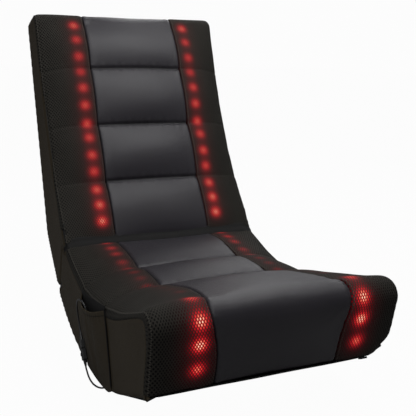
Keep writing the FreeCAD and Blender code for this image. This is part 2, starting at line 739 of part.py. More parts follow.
def light_path_back():
    one = crossing(back_front_path[1:], z=size("back_stitch_one_z"))
    three = crossing(back_front_path[1:], z=size("back_stitch_three_z"))
    low = (one[0] - size("back_crown_one"), one[1])
    high = (three[0] - size("back_crown"), three[1])
    start = on_way(high, low, -2.6 * size("light_pitch"))
    end = on_way(high, low, math.dist(high, low) + 2.3 * size("light_pitch"))
    return [corner(start), corner(end)]


def light_strip(path, side):
    """Tape with its diodes: one solid each, so a group."""
    middle = side * size("light_offset")
    half = size("tape_width") / 2
    depth = size("light_depth")
    tape = band(path, depth, depth + size("tape_thickness"), middle - half, middle + half)
    top_line_of_tape = Part.Wire(edges_at(outline(inset(path, depth, False), False), middle))
    fine = 16
    points = top_line_of_tape.discretize(Distance=size("light_pitch") / fine)
    solids = [tape]
    for i in range(fine // 2, len(points) - 1, fine):
        before = points[i - 1]
        after = points[i + 1]
        way = (after - before).normalize()
        out = Vec(0, way.z, -way.y)
        solids.append(Part.makeCylinder(size("diode_radius"), size("diode_height"), points[i], out))
    return Part.makeCompound(solids)


def light_groove(path, side):
    middle = side * size("light_offset")
    half = size("tape_width") / 2 + play
    floor = size("light_depth") + size("tape_thickness") + play
    return band(path, -30, floor, middle - half, middle + half)


fold_room = open_fold()
feature("seat_centre_pad", centre_pad(seat_section).cut(fold_room))
feature("back_centre_pad", centre_pad(back_section).cut(fold_room))
for side_name, side in (("left", 1), ("right", -1)):
    seat_mesh = mesh_pad(seat_section, side).cut(fold_room)
    back_mesh = mesh_pad(back_section, side).cut(fold_room)
    feature("seat_mesh_pad_" + side_name, seat_mesh.cut(light_groove(light_path_seat(), side)))
    feature("back_mesh_pad_" + side_name, back_mesh.cut(light_groove(light_path_back(), side)))
    feature("seat_light_strip_" + side_name, light_strip(light_path_seat(), side))
    feature("back_light_strip_" + side_name, light_strip(light_path_back(), side))


# Fold hinges: butt hinges closed between the two joint faces, their barrel under the crease

knuckle_count = 5
knuckle_pitch = size("hinge_width") / knuckle_count
leaf_line = size("hinge_leaf_length") - 6


def fold_cylinder(radius, low, high, along=0.0, up=0.0):
    return Part.makeCylinder(radius, high - low, Vec(low, *fold_point(along, up)), Vec(1, 0, 0))


def screw_places(middle):
    half = size("screw_spacing") / 2
    return (middle - half, middle + half)


def leaf(middle, own_knuckles, up_sign, bore):
    """One leaf with its knuckles: up_sign is 1 on the back and -1 on the seat."""
    low = middle - size("hinge_width") / 2
    near = up_sign * play / 2
    far = up_sign * leaf_face
    shape = fold_slab(0, min(near, far), size("hinge_leaf_length"), max(near, far),
                      low, low + size("hinge_width"))
    for i in range(knuckle_count):
        start = low + i * knuckle_pitch
        if i in own_knuckles:
            barrel = fold_cylinder(size("knuckle_radius"), start + size("knuckle_play") / 2,
                                   start + knuckle_pitch - size("knuckle_play") / 2)
            shape = shape.fuse(barrel)
        else:
            room = fold_cylinder(size("knuckle_radius") + play, start, start + knuckle_pitch)
            shape = shape.cut(room)
    shape = shape.cut(fold_cylinder(bore, low - 1, low + size("hinge_width") + 1))
    for x in screw_places(middle):
        hole = Part.makeCylinder(size("screw_radius") + play, 4, Vec(x, *fold_point(leaf_line, -2)),
                                 Vec(0, -joint_way[1], joint_way[0]))
        shape = shape.cut(hole)
    return shape.removeSplitter()


def leaf_screws(middle, up_sign):
    """Countersunk screws of one leaf, driven into the rail behind it."""
    solids = []
    inward = Vec(0, -joint_way[1] * up_sign, joint_way[0] * up_sign)
    for x in screw_places(middle):
        head = Vec(x, *fold_point(leaf_line, up_sign * play / 2))
        thick_leaf = size("hinge_leaf_thickness")
        flat_head = Part.makeCone(size("screw_head_radius"), size("screw_radius"), thick_leaf, head, inward)
        shank = Part.makeCylinder(size("screw_radius"), size("screw_length"), head, inward)
        solids.append(flat_head.fuse(shank).removeSplitter())
    return solids


def leaf_sinks(middle, up_sign):
    """The room that the screws of one leaf take."""
    inward = Vec(0, -joint_way[1] * up_sign, joint_way[0] * up_sign)
    solids = []
    for x in screw_places(middle):
        head = Vec(x, *fold_point(leaf_line, up_sign * play / 2))
        solids.append(Part.makeCone(size("screw_head_radius"), size("screw_radius"),
                                    size("hinge_leaf_thickness"), head, inward))
        solids.append(Part.makeCylinder(size("screw_radius"), size("screw_length"), head, inward))
    return solids


hinge_offset = half_width - size("hinge_inset")
hinge_middles = {"left": hinge_offset, "right": -hinge_offset}
seat_screw_solids = []
back_screw_solids = []
seat_holes = []
back_holes = []
for side_name, middle in hinge_middles.items():
    seat_leaf = leaf(middle, (0, 2, 4), -1, size("hinge_pin_radius"))
    back_leaf = leaf(middle, (1, 3), 1, size("hinge_pin_radius") + size("pin_play"))
    for solid in leaf_sinks(middle, -1):
        seat_leaf = seat_leaf.cut(solid)
        seat_holes.append(solid)
    for solid in leaf_sinks(middle, 1):
        back_leaf = back_leaf.cut(solid)
        back_holes.append(solid)
    feature("hinge_seat_leaf_" + side_name, seat_leaf)
    feature("hinge_back_leaf_" + side_name, back_leaf)
    pin = doc.addObject("Part::Cylinder", "hinge_pin_" + side_name)
    pin.setExpression("Radius", "Sizes.hinge_pin_radius")
    pin.setExpression("Height", "Sizes.hinge_width")
    pin.Placement = FreeCAD.Placement(
        Vec(middle - size("hinge_width") / 2, *fold_axis), FreeCAD.Rotation(Vec(0, 1, 0), 90))
    keep(pin, "hinge_pin_" + side_name)
    seat_screw_solids += leaf_screws(middle, -1)
    back_screw_solids += leaf_screws(middle, 1)
feature("hinge_seat_screws", Part.makeCompound(seat_screw_solids))
feature("hinge_back_screws", Part.makeCompound(back_screw_solids))
drilled("seat_rear_rail", rear_rail_blank, seat_holes)
drilled("back_lower_rail", lower_rail_blank, back_holes)


# Lead of the lights: out under the right edge, through the controller, into the pocket

lead_radius = size("lead_diameter") / 2
side_face = -half_width
controller_top = Vec(side_face - 7.2, 26, 62)
controller_foot = Vec(side_face - 7.2, -10, 8)
controller_way = (controller_foot - controller_top).normalize()

# from the grommet under the seat, round on the floor, up to the foot of the controller
LEAD_LOWER = [
    (-205.5, -101.0, 6.2),
    (-212.5, -99.0, 2.6),
    (-219.5, -92.0, 1.8),
    (-224.5, -79.5, 1.8),
    (-226.0, -63.0, 1.8),
    (-225.5, -46.0, 1.8),
    (-224.0, -31.0, 1.9),
    (-222.6, -20.5, 2.2),
    (-222.2, -13.33, 3.0),
    (-222.2, -10.0, 8.0),
]
# from the top of the controller, over the hem of the pocket, down to the plug inside it
LEAD_UPPER = [
    (-222.2, 26.0, 62.0),
    (-222.2, 33.0, 72.5),
    (-222.8, 38.0, 86.0),
    (-224.2, 35.5, 100.0),
    (-226.0, 27.5, 113.0),
    (-227.5, 16.0, 124.0),
    (-227.5, 2.5, 130.0),
    (-226.0, -11.0, 131.0),
    (-223.2, -22.0, 124.5),
    (-221.2, -28.0, 113.0),
    (-220.6, -29.5, 100.0),
]


def tube(points, radius, name):
    """Straight runs joined by tangent arcs, each arc as large as its two runs allow."""
    knots = [Vec(*point) for point in points]
    edges = []
    here = knots[0]
    radii = []
    length = 0.0
    for i in range(1, len(knots) - 1):
        come = knots[i] - knots[i - 1]
        leave = knots[i + 1] - knots[i]
        shorter = min(come.Length, leave.Length)
        turn = come.getAngle(leave)
        arc_radius = 0.45 * shorter / math.tan(turn / 2)
        radii.append(arc_radius)
        tangent = 0.45 * shorter
        come.normalize()
        leave.normalize()
        start = knots[i] - come * tangent
        end = knots[i] + leave * tangent
        inward = (leave - come).normalize()
        middle = knots[i] + inward * (arc_radius / math.cos(turn / 2) - arc_radius)
        edges.append(Part.LineSegment(here, start).toShape())
        edges.append(Part.Arc(start, middle, end).toShape())
        length += (start - here).Length + arc_radius * turn
        here = end
    edges.append(Part.LineSegment(here, knots[-1]).toShape())
    length += (knots[-1] - here).Length
    path = Part.Wire(edges)
    ring = Part.Wire(Part.makeCircle(radius, knots[0], knots[1] - knots[0]))
    shape = path.makePipeShell([ring], True, False)
    ratio = shape.Volume / (math.pi * radius * radius * length)
    cord_report.append("%s: %.0f mm long, volume ratio %.4f, radii %s"
                       % (name, length, ratio, " ".join("%.0f" % value for value in radii)))
    return shape


feature("lead_lower", tube(LEAD_LOWER, lead_radius, "lead_lower"))
feature("lead_upper", tube(LEAD_UPPER, lead_radius, "lead_upper"))

# Grommet: flange on the underside with a nose towards the edge, the lead goes in at its tip
grommet_tip = Vec(*LEAD_LOWER[0])
grommet_way = (Vec(*LEAD_LOWER[0]) - Vec(*LEAD_LOWER[1])).normalize()
grommet_root = grommet_tip + grommet_way * 9
nose = Part.makeCone(lead_radius + 1.0, lead_radius + 2.6, 9, grommet_tip, grommet_way)
seat_block = slab(seat_pieces, -half_width, half_width)
flange_y = grommet_root.y
rocker_down = Vec(0, flange_y, -math.sqrt(size("rocker_radius") ** 2 - flange_y ** 2)).normalize()
flange_centre = Vec(grommet_root.x, 0, rocker_centre_z) + rocker_down * (size("rocker_radius") + 1.5)
flange = Part.makeCylinder(7.0, 4.0, flange_centre, rocker_down * -1)
grommet = flange.fuse(nose).cut(seat_block)
feature("lead_grommet", max(grommet.Solids, key=lambda solid: solid.Volume))
feature("seat_underside_cover", seat_wrap)

# What is on the lead, in line: relief, connector, controller, relief


def along_lead(distance):
    return controller_top + controller_way * distance


def relief(start, end, start_radius, end_radius):
    """Tapered sleeve that grips the lead."""
    sleeve = Part.makeCone(start_radius, end_radius, (end - start).Length, start, end - start)
    return sleeve


total = (controller_foot - controller_top).Length
case_length = size("controller_length")
connector_length = 17.0
foot_relief = 10.5
top_relief = total - connector_length - case_length - foot_relief - 2 * play


def housing(start, length, width, depth, rounding):
    """Moulded block in line with the lead, its width along the side of the chair."""
    block = Part.makeBox(depth, width, length, Vec(-depth / 2, -width / 2, 0))
    block = block.makeFillet(rounding, block.Edges)
    block.Placement = FreeCAD.Placement(along_lead(start), FreeCAD.Rotation(Vec(0, 0, 1), controller_way))
    return block


feature("lead_relief_top", relief(along_lead(0), along_lead(top_relief), lead_radius + 0.4, lead_radius + 2.0))
connector = housing(top_relief, connector_length, 10.0, 8.0, 1.6)
feature("lead_connector", connector)
case_start = top_relief + connector_length + play
case = housing(case_start, case_length, size("controller_width"), size("controller_depth"), 2.0)
button_middle = along_lead(case_start + case_length / 2)
button_out = Vec(-1, 0, 0)
half_depth = size("controller_depth") / 2
button_seat = 2.4
button_rise = 1.6
well = Part.makeCylinder(size("button_radius") + size("button_play"), button_seat + 1,
                         button_middle + button_out * (half_depth - button_seat), button_out)
outer_half = Part.makeBox(half_depth + 2, 400, 400, Vec(controller_top.x - half_depth - 2, -200, -150))
front_case = case.common(outer_half).cut(well)
back_case = case.cut(outer_half)
feature("controller_case_front", front_case)
feature("controller_case_back", back_case)
button = Part.makeCylinder(size("button_radius"), button_seat - size("button_travel") - play + button_rise,
                           button_middle + button_out * (half_depth - button_seat
                                                         + size("button_travel") + play), button_out)
rim = [edge for edge in button.Edges if edge.Length > 1
       and abs(edge.CenterOfMass.x - button.BoundBox.XMin) < 0.01]
feature("controller_button", button.makeFillet(0.6, rim))
foot_start = case_start + case_length + play
feature("lead_relief_foot", relief(along_lead(foot_start), along_lead(foot_start + foot_relief),
                                   lead_radius + 1.8, lead_radius + 0.4))

# Plug in the pocket, pointing down
plug_top = Vec(*LEAD_UPPER[-1])
plug_way = (Vec(*LEAD_UPPER[-1]) - Vec(*LEAD_UPPER[-2])).normalize()
grip_length = 22.0
shell_length = 12.0
plug_turn = FreeCAD.Rotation(Vec(1, 0, 0), Vec(0, 1, 0), plug_way, "ZXY")
grip = Part.makeBox(6.6, 14.0, grip_length, Vec(-3.3, -7.0, 0))
grip = grip.makeFillet(1.4, grip.Edges)
grip.Placement = FreeCAD.Placement(plug_top, plug_turn)
feature("plug_grip", grip)
shell = Part.makeBox(4.5, 12.0, shell_length, Vec(-2.25, -6.0, 0))
mouth = Part.makeBox(3.3, 10.8, shell_length - 2, Vec(-1.65, -5.4, 2))
shell = shell.cut(mouth)
shell.Placement = FreeCAD.Placement(plug_top + plug_way * grip_length, plug_turn)
feature("plug_shell", shell)

# Pocket on the right side cover: fabric patch sewn round three edges, its mouth stands open

pocket_mouth = ((22.0, 112.0), (-124.0, 159.0))
pocket_half_way = ((15.0, 72.0), (-146.0, 92.0))
pocket_foot = ((3.0, 10.0), (-160.0, 34.0))
pocket_under = ((2.0, -14.0), (-166.0, 10.0))


def pocket_arc(ends, gape, layer):
    """Line of the pocket fabric from the rear to the front: gape off the side cover."""
    rear, front = ends
    face_x = side_face - 0.1 - layer
    middle = ((rear[0] + front[0]) / 2, (rear[1] + front[1]) / 2)
    return [Vec(face_x, *rear), Vec(face_x - gape, *middle), Vec(face_x, *front)]


def pocket_ring(ends, gape):
    inner = pocket_arc(ends, gape, 0)
    outer = pocket_arc(ends, gape, size("pocket_fabric"))
    return Part.Wire([
        Part.Arc(*inner).toShape(),
        Part.LineSegment(inner[2], outer[2]).toShape(),
        Part.Arc(*reversed(outer)).toShape(),
        Part.LineSegment(outer[0], inner[0]).toShape(),
    ])


pocket_rings = [
    pocket_ring(pocket_mouth, size("pocket_mouth_gape")),
    pocket_ring(pocket_half_way, size("pocket_middle_gape")),
    pocket_ring(pocket_foot, 0.6),
    pocket_ring(pocket_under, 0.3),
]
pocket_field = slab(outline(inset(seat_outline, 3), True, flat), side_face - 40, side_face + 1)
feature("pocket_panel", Part.makeLoft(pocket_rings, True, False).common(pocket_field))
hem_lift = size("pocket_hem_radius") + 0.1
hem_points = pocket_arc(pocket_mouth, size("pocket_mouth_gape"), size("pocket_hem_radius"))
hem_points = [point + Vec(0, 0, hem_lift) for point in hem_points]
hem_path = Part.Wire([Part.Arc(*hem_points).toShape()])
hem_start = hem_path.Edges[0].tangentAt(hem_path.Edges[0].FirstParameter)
hem_ring = Part.Wire(Part.makeCircle(size("pocket_hem_radius"), hem_points[0], hem_start))
feature("pocket_hem", hem_path.makePipeShell([hem_ring], True, False))
binding_half = 1.6
binding_clear = binding_half + 1.2
binding_top = (pocket_mouth[1][0] - binding_clear, pocket_mouth[1][1] + 2)
binding_knee = (pocket_half_way[1][0] - binding_clear, pocket_half_way[1][1])
binding_foot = (pocket_foot[1][0] - binding_clear, pocket_foot[1][1])
binding_path = [corner(binding_top), corner(binding_knee, 120), corner(binding_foot)]
feature("pocket_binding", band(binding_path, -binding_half, binding_half, side_face - 2.6, side_face - 0.1))

# Zip under the front edge, with the slider that closes it at the left end

zip_line = [corner(on_way(seat_outline[FRONT_BOTTOM], seat_outline[ROCKER], 8)),
            corner(on_way(seat_outline[FRONT_BOTTOM], seat_outline[ROCKER], 8 + size("zip_tape_width")))]
coil_start = 8 + (size("zip_tape_width") - size("zip_tooth_width")) / 2
coil_line = [corner(on_way(seat_outline[FRONT_BOTTOM], seat_outline[ROCKER], coil_start)),
             corner(on_way(seat_outline[FRONT_BOTTOM], seat_outline[ROCKER],
                           coil_start + size("zip_tooth_width")))]
half_zip = size("zip_length") / 2
zip_tape = band(zip_line, -1.0, 0, -half_zip, half_zip)
zip_coil = band(coil_line, -2.4, -1.0, -half_zip, half_zip)
feature("cover_zip", zip_tape.fuse(zip_coil))
slider_half = 6.0
coil_ends = [point[:2] for point in coil_line]
slider_line = [corner(on_way(*coil_ends, -2)), corner(on_way(*coil_ends, size("zip_tooth_width") + 2))]
slider_x = size("zip_slider_x")
slider = band(slider_line, -4.4, -2.4 - play, slider_x - slider_half, slider_x + slider_half)
for along in (0, 1):
    lip_start = -2.0 if along == 0 else size("zip_tooth_width") + play
    lip_end = -play if along == 0 else size("zip_tooth_width") + 2.0
    lip = [corner(on_way(*coil_ends, lip_start)), corner(on_way(*coil_ends, lip_end))]
    slider = slider.fuse(band(lip, -2.4 - play, -1.0 - play, slider_x - slider_half, slider_x + slider_half))
feature("zip_slider", slider.removeSplitter())


# Every object has to be sound before any file is written

doc.recompute()
for obj in doc.Objects:
    if "Invalid" in obj.State or "Error" in obj.State:
        raise RuntimeError("%s failed: %s" % (obj.Label, obj.State))
for obj in sub_parts:
    if obj.Shape.isNull() or not obj.Shape.isValid() or obj.Shape.Volume <= 0:
        raise RuntimeError("%s has no sound shape" % obj.Label)

os.makedirs("parts", exist_ok=True)
for obj in sub_parts:
    obj.Shape.exportStep(os.path.join("parts", obj.Label + ".step"))
print("%d sub-parts written" % len(sub_parts))
for line in cord_report:
    print(line)
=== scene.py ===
import math

import bpy
import numpy as np
from mathutils import Matrix, Vector


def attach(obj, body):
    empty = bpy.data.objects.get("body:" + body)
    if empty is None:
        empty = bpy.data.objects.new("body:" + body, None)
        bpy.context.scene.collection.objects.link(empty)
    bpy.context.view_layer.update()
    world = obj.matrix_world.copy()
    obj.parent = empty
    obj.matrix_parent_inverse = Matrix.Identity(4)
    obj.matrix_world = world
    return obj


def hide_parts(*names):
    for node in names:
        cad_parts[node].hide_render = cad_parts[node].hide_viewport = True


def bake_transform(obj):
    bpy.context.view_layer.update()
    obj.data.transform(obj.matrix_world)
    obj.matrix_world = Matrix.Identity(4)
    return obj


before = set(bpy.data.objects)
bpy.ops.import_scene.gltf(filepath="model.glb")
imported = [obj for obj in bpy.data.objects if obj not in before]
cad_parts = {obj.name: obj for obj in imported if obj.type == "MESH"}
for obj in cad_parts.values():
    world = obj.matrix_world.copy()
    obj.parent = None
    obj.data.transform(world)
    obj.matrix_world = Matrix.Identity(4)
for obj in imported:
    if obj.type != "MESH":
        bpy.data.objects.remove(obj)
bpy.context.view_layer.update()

# Camera. The photograph looks down a little on the front of the chair from the sitter's right.
# The lens and place are the ones that put the seams of the measured model on those of the picture.
bpy.ops.object.select_all(action="DESELECT")
RIGHTWARDS = Vector((0.9139, -0.4056, 0.0177))
UPWARDS = Vector((0.0739, 0.2091, 0.9751))
FORWARDS = Vector((0.3992, 0.8898, -0.221))
eye = bpy.data.cameras.new("camera")
eye.lens = 59.75
eye.sensor_width = 36
camera = bpy.data.objects.new("camera", eye)
turn = Matrix((RIGHTWARDS, UPWARDS, -FORWARDS)).transposed().to_4x4()
camera.matrix_world = Matrix.Translation((-0.5089, -1.1983, 0.5891)) @ turn
bpy.context.scene.collection.objects.link(camera)
bpy.context.scene.camera = camera
bpy.context.scene.view_settings.view_transform = "Standard"


class Value:
    """A number or colour somewhere in a material, with the sums that shape it."""

    def __init__(self, tree, socket):
        self.tree = tree
        self.socket = socket

    def sum(self, operation, *others, turned=False):
        terms = [self, *others]
        if turned:
            terms.reverse()
        made = self.tree.nodes.new("ShaderNodeMath")
        made.operation = operation
        for place, term in zip(made.inputs, terms):
            if isinstance(term, Value):
                self.tree.links.new(term.socket, place)
            else:
                place.default_value = term
        return Value(self.tree, made.outputs[0])

    def __add__(self, other):
        return self.sum("ADD", other)

    def __radd__(self, other):
        return self.sum("ADD", other, turned=True)

    def __sub__(self, other):
        return self.sum("SUBTRACT", other)

    def __rsub__(self, other):
        return self.sum("SUBTRACT", other, turned=True)

    def __mul__(self, other):
        return self.sum("MULTIPLY", other)

    def __rmul__(self, other):
        return self.sum("MULTIPLY", other, turned=True)

    def __truediv__(self, other):
        return self.sum("DIVIDE", other)

    def __rtruediv__(self, other):
        return self.sum("DIVIDE", other, turned=True)

    def __pow__(self, other):
        return self.sum("POWER", other)

    def __abs__(self):
        return self.sum("ABSOLUTE")

    def least(self, other):
        return self.sum("MINIMUM", other)

    def most(self, other):
        return self.sum("MAXIMUM", other)

    def fraction(self):
        return self.sum("FRACT")

    def wave(self):
        """1 at whole numbers and 0 half way between them."""
        return (self * math.tau).sum("COSINE") * 0.5 + 0.5

    def clear_of(self, low, high):
        """0 up to low, 1 from high, and a straight rise between them."""
        return ((self - low) / (high - low)).most(0.0).least(1.0)


class Finish:
    """A material in the making: its nodes, and the shader that ends it."""

    def __init__(self, name, constants):
        self.made = bpy.data.materials.new(name)
        self.made.use_nodes = True
        self.tree = self.made.node_tree
        self.skin = self.tree.nodes["Principled BSDF"]
        for socket, value in constants.items():
            self.skin.inputs[socket].default_value = value

    def node(self, kind, settings=None, sockets=None, out=0):
        made = self.tree.nodes.new(kind)
        for name, value in (settings or {}).items():
            if name == "stops":
                for i, (place, shade) in enumerate(value):
                    stop = made.color_ramp.elements[i] if i < 2 else made.color_ramp.elements.new(place)
                    stop.position = place
                    stop.color = (*shade, 1.0)
            else:
                setattr(made, name, value)
        for name, value in (sockets or {}).items():
            if isinstance(value, Value):
                self.tree.links.new(value.socket, made.inputs[name])
            else:
                made.inputs[name].default_value = value
        return Value(self.tree, made.outputs[out])

    def place(self, size=(1.0, 1.0, 1.0)):
        """The point on the object, stretched by size."""
        here = self.node("ShaderNodeTexCoord", out="Object")
        return self.node("ShaderNodeMapping", sockets={"Vector": here, "Scale": size})

    def noise(self, where, scale, detail=2.0):
        return self.node("ShaderNodeTexNoise", sockets={"Vector": where, "Scale": scale, "Detail": detail})

    def blend(self, first, second, share):
        """Colour that goes from first to second as share goes from 0 to 1."""
        made = self.tree.nodes.new("ShaderNodeMix")
        made.data_type = "RGBA"
        for index, value in ((0, share), (6, first), (7, second)):
            if isinstance(value, Value):
                self.tree.links.new(value.socket, made.inputs[index])
            elif isinstance(value, tuple):
                made.inputs[index].default_value = (*value, 1.0)
            else:
                made.inputs[index].default_value = value
        return Value(self.tree, made.outputs[2])

    def feed(self, socket, value):
        self.tree.links.new(value.socket, self.skin.inputs[socket])

    def relief(self, height, depth, strength=1.0):
        """Height, from 0 to 1, felt as a relief this deep in metres."""
        bump = self.node("ShaderNodeBump", sockets={"Height": height, "Distance": depth, "Strength": strength})
        self.feed("Normal", bump)


# Studio. A white paper floor that reaches far behind the chair, one large soft lamp over it,
# one in front on the sitter's right and a weak one behind, as in a catalogue picture.
paper = Finish("paper", {"Roughness": 0.9})
grain = paper.noise(paper.place(), 40.0)
paper.feed("Base Color", paper.blend((0.26, 0.26, 0.26), (0.30, 0.30, 0.30), grain))
ray = paper.node("ShaderNodeLightPath", out="Is Camera Ray")
glossy_ray = paper.node("ShaderNodeLightPath", out="Is Glossy Ray")
clear_ray = paper.node("ShaderNodeLightPath", out="Is Transmission Ray")
white = paper.node("ShaderNodeEmission", sockets={"Color": (1.0, 1.0, 1.0, 1.0), "Strength": 1.0})
shine = (ray + glossy_ray * 0.06 + clear_ray).least(1.0) * 0.97
mixed = paper.node("ShaderNodeMixShader", sockets={0: shine, 2: white})
paper.tree.links.new(paper.skin.outputs[0], mixed.socket.node.inputs[1])
paper.tree.links.new(mixed.socket, paper.tree.nodes["Material Output"].inputs[0])
bpy.ops.mesh.primitive_plane_add(size=30)
floor = bpy.context.object
floor.name = "floor"
bpy.ops.object.mode_set(mode="EDIT")
bpy.ops.transform.translate(value=(0, 9.0, -0.0005))
bpy.ops.object.mode_set(mode="OBJECT")
floor.data.materials.append(paper.made)

sky = bpy.data.worlds.new("studio")
bpy.context.scene.world = sky
sky.use_nodes = True
dome = sky.node_tree
seen = dome.nodes.new("ShaderNodeLightPath")
share = dome.nodes.new("ShaderNodeMath")
share.operation = "MAXIMUM"
dome.links.new(seen.outputs["Is Camera Ray"], share.inputs[0])
dome.links.new(seen.outputs["Is Transmission Ray"], share.inputs[1])
plain = dome.nodes.new("ShaderNodeMixRGB")
plain.inputs[1].default_value = (0.17, 0.17, 0.18, 1.0)
plain.inputs[2].default_value = (0.975, 0.975, 0.975, 1.0)
dome.links.new(share.outputs[0], plain.inputs[0])
dome.links.new(plain.outputs[0], dome.nodes["Background"].inputs["Color"])


def lamp(name, place, aim, width, power, tint=(1.0, 1.0, 1.0)):
    light = bpy.data.lights.new(name, "AREA")
    light.shape = "DISK"
    light.size = width
    light.energy = power
    light.color = tint
    made = bpy.data.objects.new(name, light)
    way = Vector(aim) - Vector(place)
    made.matrix_world = Matrix.Translation(place) @ way.to_track_quat("-Z", "Y").to_matrix().to_4x4()
    bpy.context.scene.collection.objects.link(made)


lamp("over", (0.30, -0.10, 1.55), (0.0, 0.3, 0.4), 0.8, 13)
lamp("front", (-1.1, -0.9, 2.3), (0.0, 0.2, 0.4), 1.2, 26)
lamp("back_rim", (0.9, 1.6, 1.5), (0.0, 0.2, 0.3), 1.0, 12)

# Lead of the lights. A thin black rubber lead goes from the grommet under the right edge along the floor
# into the little hand control, and from there up over the hem into the pocket, to its plug.
LEAD_DIAMETER = 0.0032
LEAD_LOWER = [
    (-0.2055, -0.1010, 0.0062), (-0.2125, -0.0990, 0.0026), (-0.2195, -0.0920, 0.0018),
    (-0.2245, -0.0795, 0.0018), (-0.2260, -0.0630, 0.0018), (-0.2255, -0.0460, 0.0018),
    (-0.2240, -0.0310, 0.0019), (-0.2226, -0.0205, 0.0022), (-0.2222, -0.01333, 0.0030),
    (-0.2222, -0.0100, 0.0080),
]
LEAD_UPPER = [
    (-0.2222, 0.0260, 0.0620), (-0.2222, 0.0330, 0.0725), (-0.2228, 0.0380, 0.0860),
    (-0.2250, 0.0355, 0.1010), (-0.2275, 0.0275, 0.1160), (-0.2295, 0.0165, 0.1290),
    (-0.2290, 0.0040, 0.1370), (-0.2262, -0.0105, 0.1370), (-0.2232, -0.0215, 0.1290),
    (-0.2212, -0.0280, 0.1130), (-0.2206, -0.0295, 0.1000),
]
rubber = Finish("lead_rubber", {"Specular IOR Level": 0.5})
smear = rubber.noise(rubber.place(), 90.0, 3.0)
rubber.feed("Base Color", rubber.blend((0.006, 0.006, 0.0065), (0.014, 0.014, 0.015), smear))
rubber.feed("Roughness", 0.36 + 0.2 * smear)
rubber.relief(rubber.noise(rubber.place(), 900.0), 0.0002, 0.4)


def lead(name, points):
    line = bpy.data.curves.new(name, "CURVE")
    line.dimensions = "3D"
    run = line.splines.new("NURBS")
    run.points.add(len(points) - 1)
    for point, place in zip(run.points, points):
        point.co = (*place, 1.0)
    run.order_u = 3
    run.use_endpoint_u = True
    run.resolution_u = 8
    line.bevel_depth = LEAD_DIAMETER / 2
    line.bevel_resolution = 3
    line.use_fill_caps = True
    made = bpy.data.objects.new(name, line)
    bpy.context.scene.collection.objects.link(made)
    line.materials.append(rubber.made)
    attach(made, "seat")
    return made


low_lead = lead("lead_run_floor", LEAD_LOWER)
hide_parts("lead_lower")
high_lead = lead("lead_run_pocket", LEAD_UPPER)
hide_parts("lead_upper")


def dress(finish, *names):
    """The finish on CAD nodes that are shown as they are."""
    for name in names:
        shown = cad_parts[name]
        shown.data.materials.clear()
        shown.data.materials.append(finish.made)


dress(rubber, "lead_grommet", "lead_relief_foot", "lead_relief_top")

# Frame. Sawn plywood side boards, rails and decks, screwed and glued, all under the covers.
# The edges show the plies as thin darker stripes, the faces a long pale grain; where the covers are pulled
# over them at the sides and the top, they are painted black as painted shade, so that nothing pale shows at a
# seam.
plywood = Finish("plywood", {"Roughness": 0.7})
fibres = plywood.noise(plywood.place((60.0, 4.0, 60.0)), 3.0, 4.0)
plies = plywood.noise(plywood.place((320.0, 1.0, 1.0)), 1.0, 1.0)
tone = plywood.blend((0.42, 0.28, 0.15), (0.6, 0.44, 0.27), fibres)
striped = plywood.blend(tone, (0.3, 0.19, 0.1), plies.clear_of(0.58, 0.7) * 0.5)
SEAM_SHADE_FROM = 0.2035
beside = abs(plywood.node("ShaderNodeSeparateXYZ", sockets={"Vector": plywood.place()}, out=0))
height = plywood.node("ShaderNodeSeparateXYZ", sockets={"Vector": plywood.place()}, out=2)
# Black on the outer faces and over the top: painted shade for the seams between the covers.
seam_shade = beside.clear_of(SEAM_SHADE_FROM, SEAM_SHADE_FROM + 0.0008).most(height.clear_of(0.600, 0.601))
plywood.feed("Base Color", plywood.blend(striped, (0.012, 0.011, 0.009), seam_shade))
plywood.relief(fibres, 0.0004)
dress(plywood, "seat_side_board_left", "seat_side_board_right", "seat_front_rail", "seat_middle_rail",
      "seat_rear_rail", "seat_deck_front", "seat_deck_rear", "back_lower_rail", "back_middle_rail",
      "back_top_rail")

# Backing boards. Hard grey board stapled to the rails of the back, so that the foam has something to lie on.
# It is pressed from pulp, so it is flat and a little speckled.
backing = Finish("backing_board", {"Roughness": 0.85})
pulp = backing.noise(backing.place(), 220.0, 4.0)
speckled = backing.blend((0.2, 0.15, 0.1), (0.34, 0.27, 0.19), pulp)
beside = abs(backing.node("ShaderNodeSeparateXYZ", sockets={"Vector": backing.place()}, out=0))
height = backing.node("ShaderNodeSeparateXYZ", sockets={"Vector": backing.place()}, out=2)
# Black on the outer faces and over the top: painted shade for the seams between the covers.
seam_shade = beside.clear_of(SEAM_SHADE_FROM, SEAM_SHADE_FROM + 0.0008).most(height.clear_of(0.630, 0.631))
backing.feed("Base Color", backing.blend(speckled, (0.012, 0.011, 0.009), seam_shade))
backing.relief(pulp, 0.0002)
dress(backing, "back_side_board_left", "back_side_board_right", "back_support_board")

# Fold hinges. Two steel butt hinges under the crease, leaf and knuckles rolled from one strip,
# each leaf held by countersunk screws, with a pin that stays with the seat.
steel = Finish("hinge_steel", {"Metallic": 1.0})
brushed = steel.noise(steel.place((30.0, 900.0, 900.0)), 2.0, 3.0)
steel.feed("Base Color", steel.blend((0.42, 0.42, 0.43), (0.62, 0.62, 0.63), brushed))
steel.feed("Roughness", 0.28 + 0.22 * brushed)
steel.relief(brushed, 0.0001, 0.5)
dress(steel, "hinge_seat_leaf_left", "hinge_seat_leaf_right", "hinge_back_leaf_left", "hinge_back_leaf_right",
      "hinge_pin_left", "hinge_pin_right", "hinge_seat_screws", "hinge_back_screws")

# Light strips. Black tape with a red diode every 40 mm, in a groove of the foam under the mesh,
# one strip each side of the back and of the seat.
strip = Finish("light_strip", {"Roughness": 0.35})
lit = strip.noise(strip.place(), 60.0)
strip.feed("Base Color", strip.blend((0.1, 0.004, 0.006), (0.2, 0.01, 0.012), lit))
strip.feed("Emission Color", strip.blend((0.1, 0.0, 0.002), (0.25, 0.004, 0.008), lit))
strip.skin.inputs["Emission Strength"].default_value = 1.0
dress(strip, "back_light_strip_left", "back_light_strip_right", "seat_light_strip_left",
      "seat_light_strip_right")

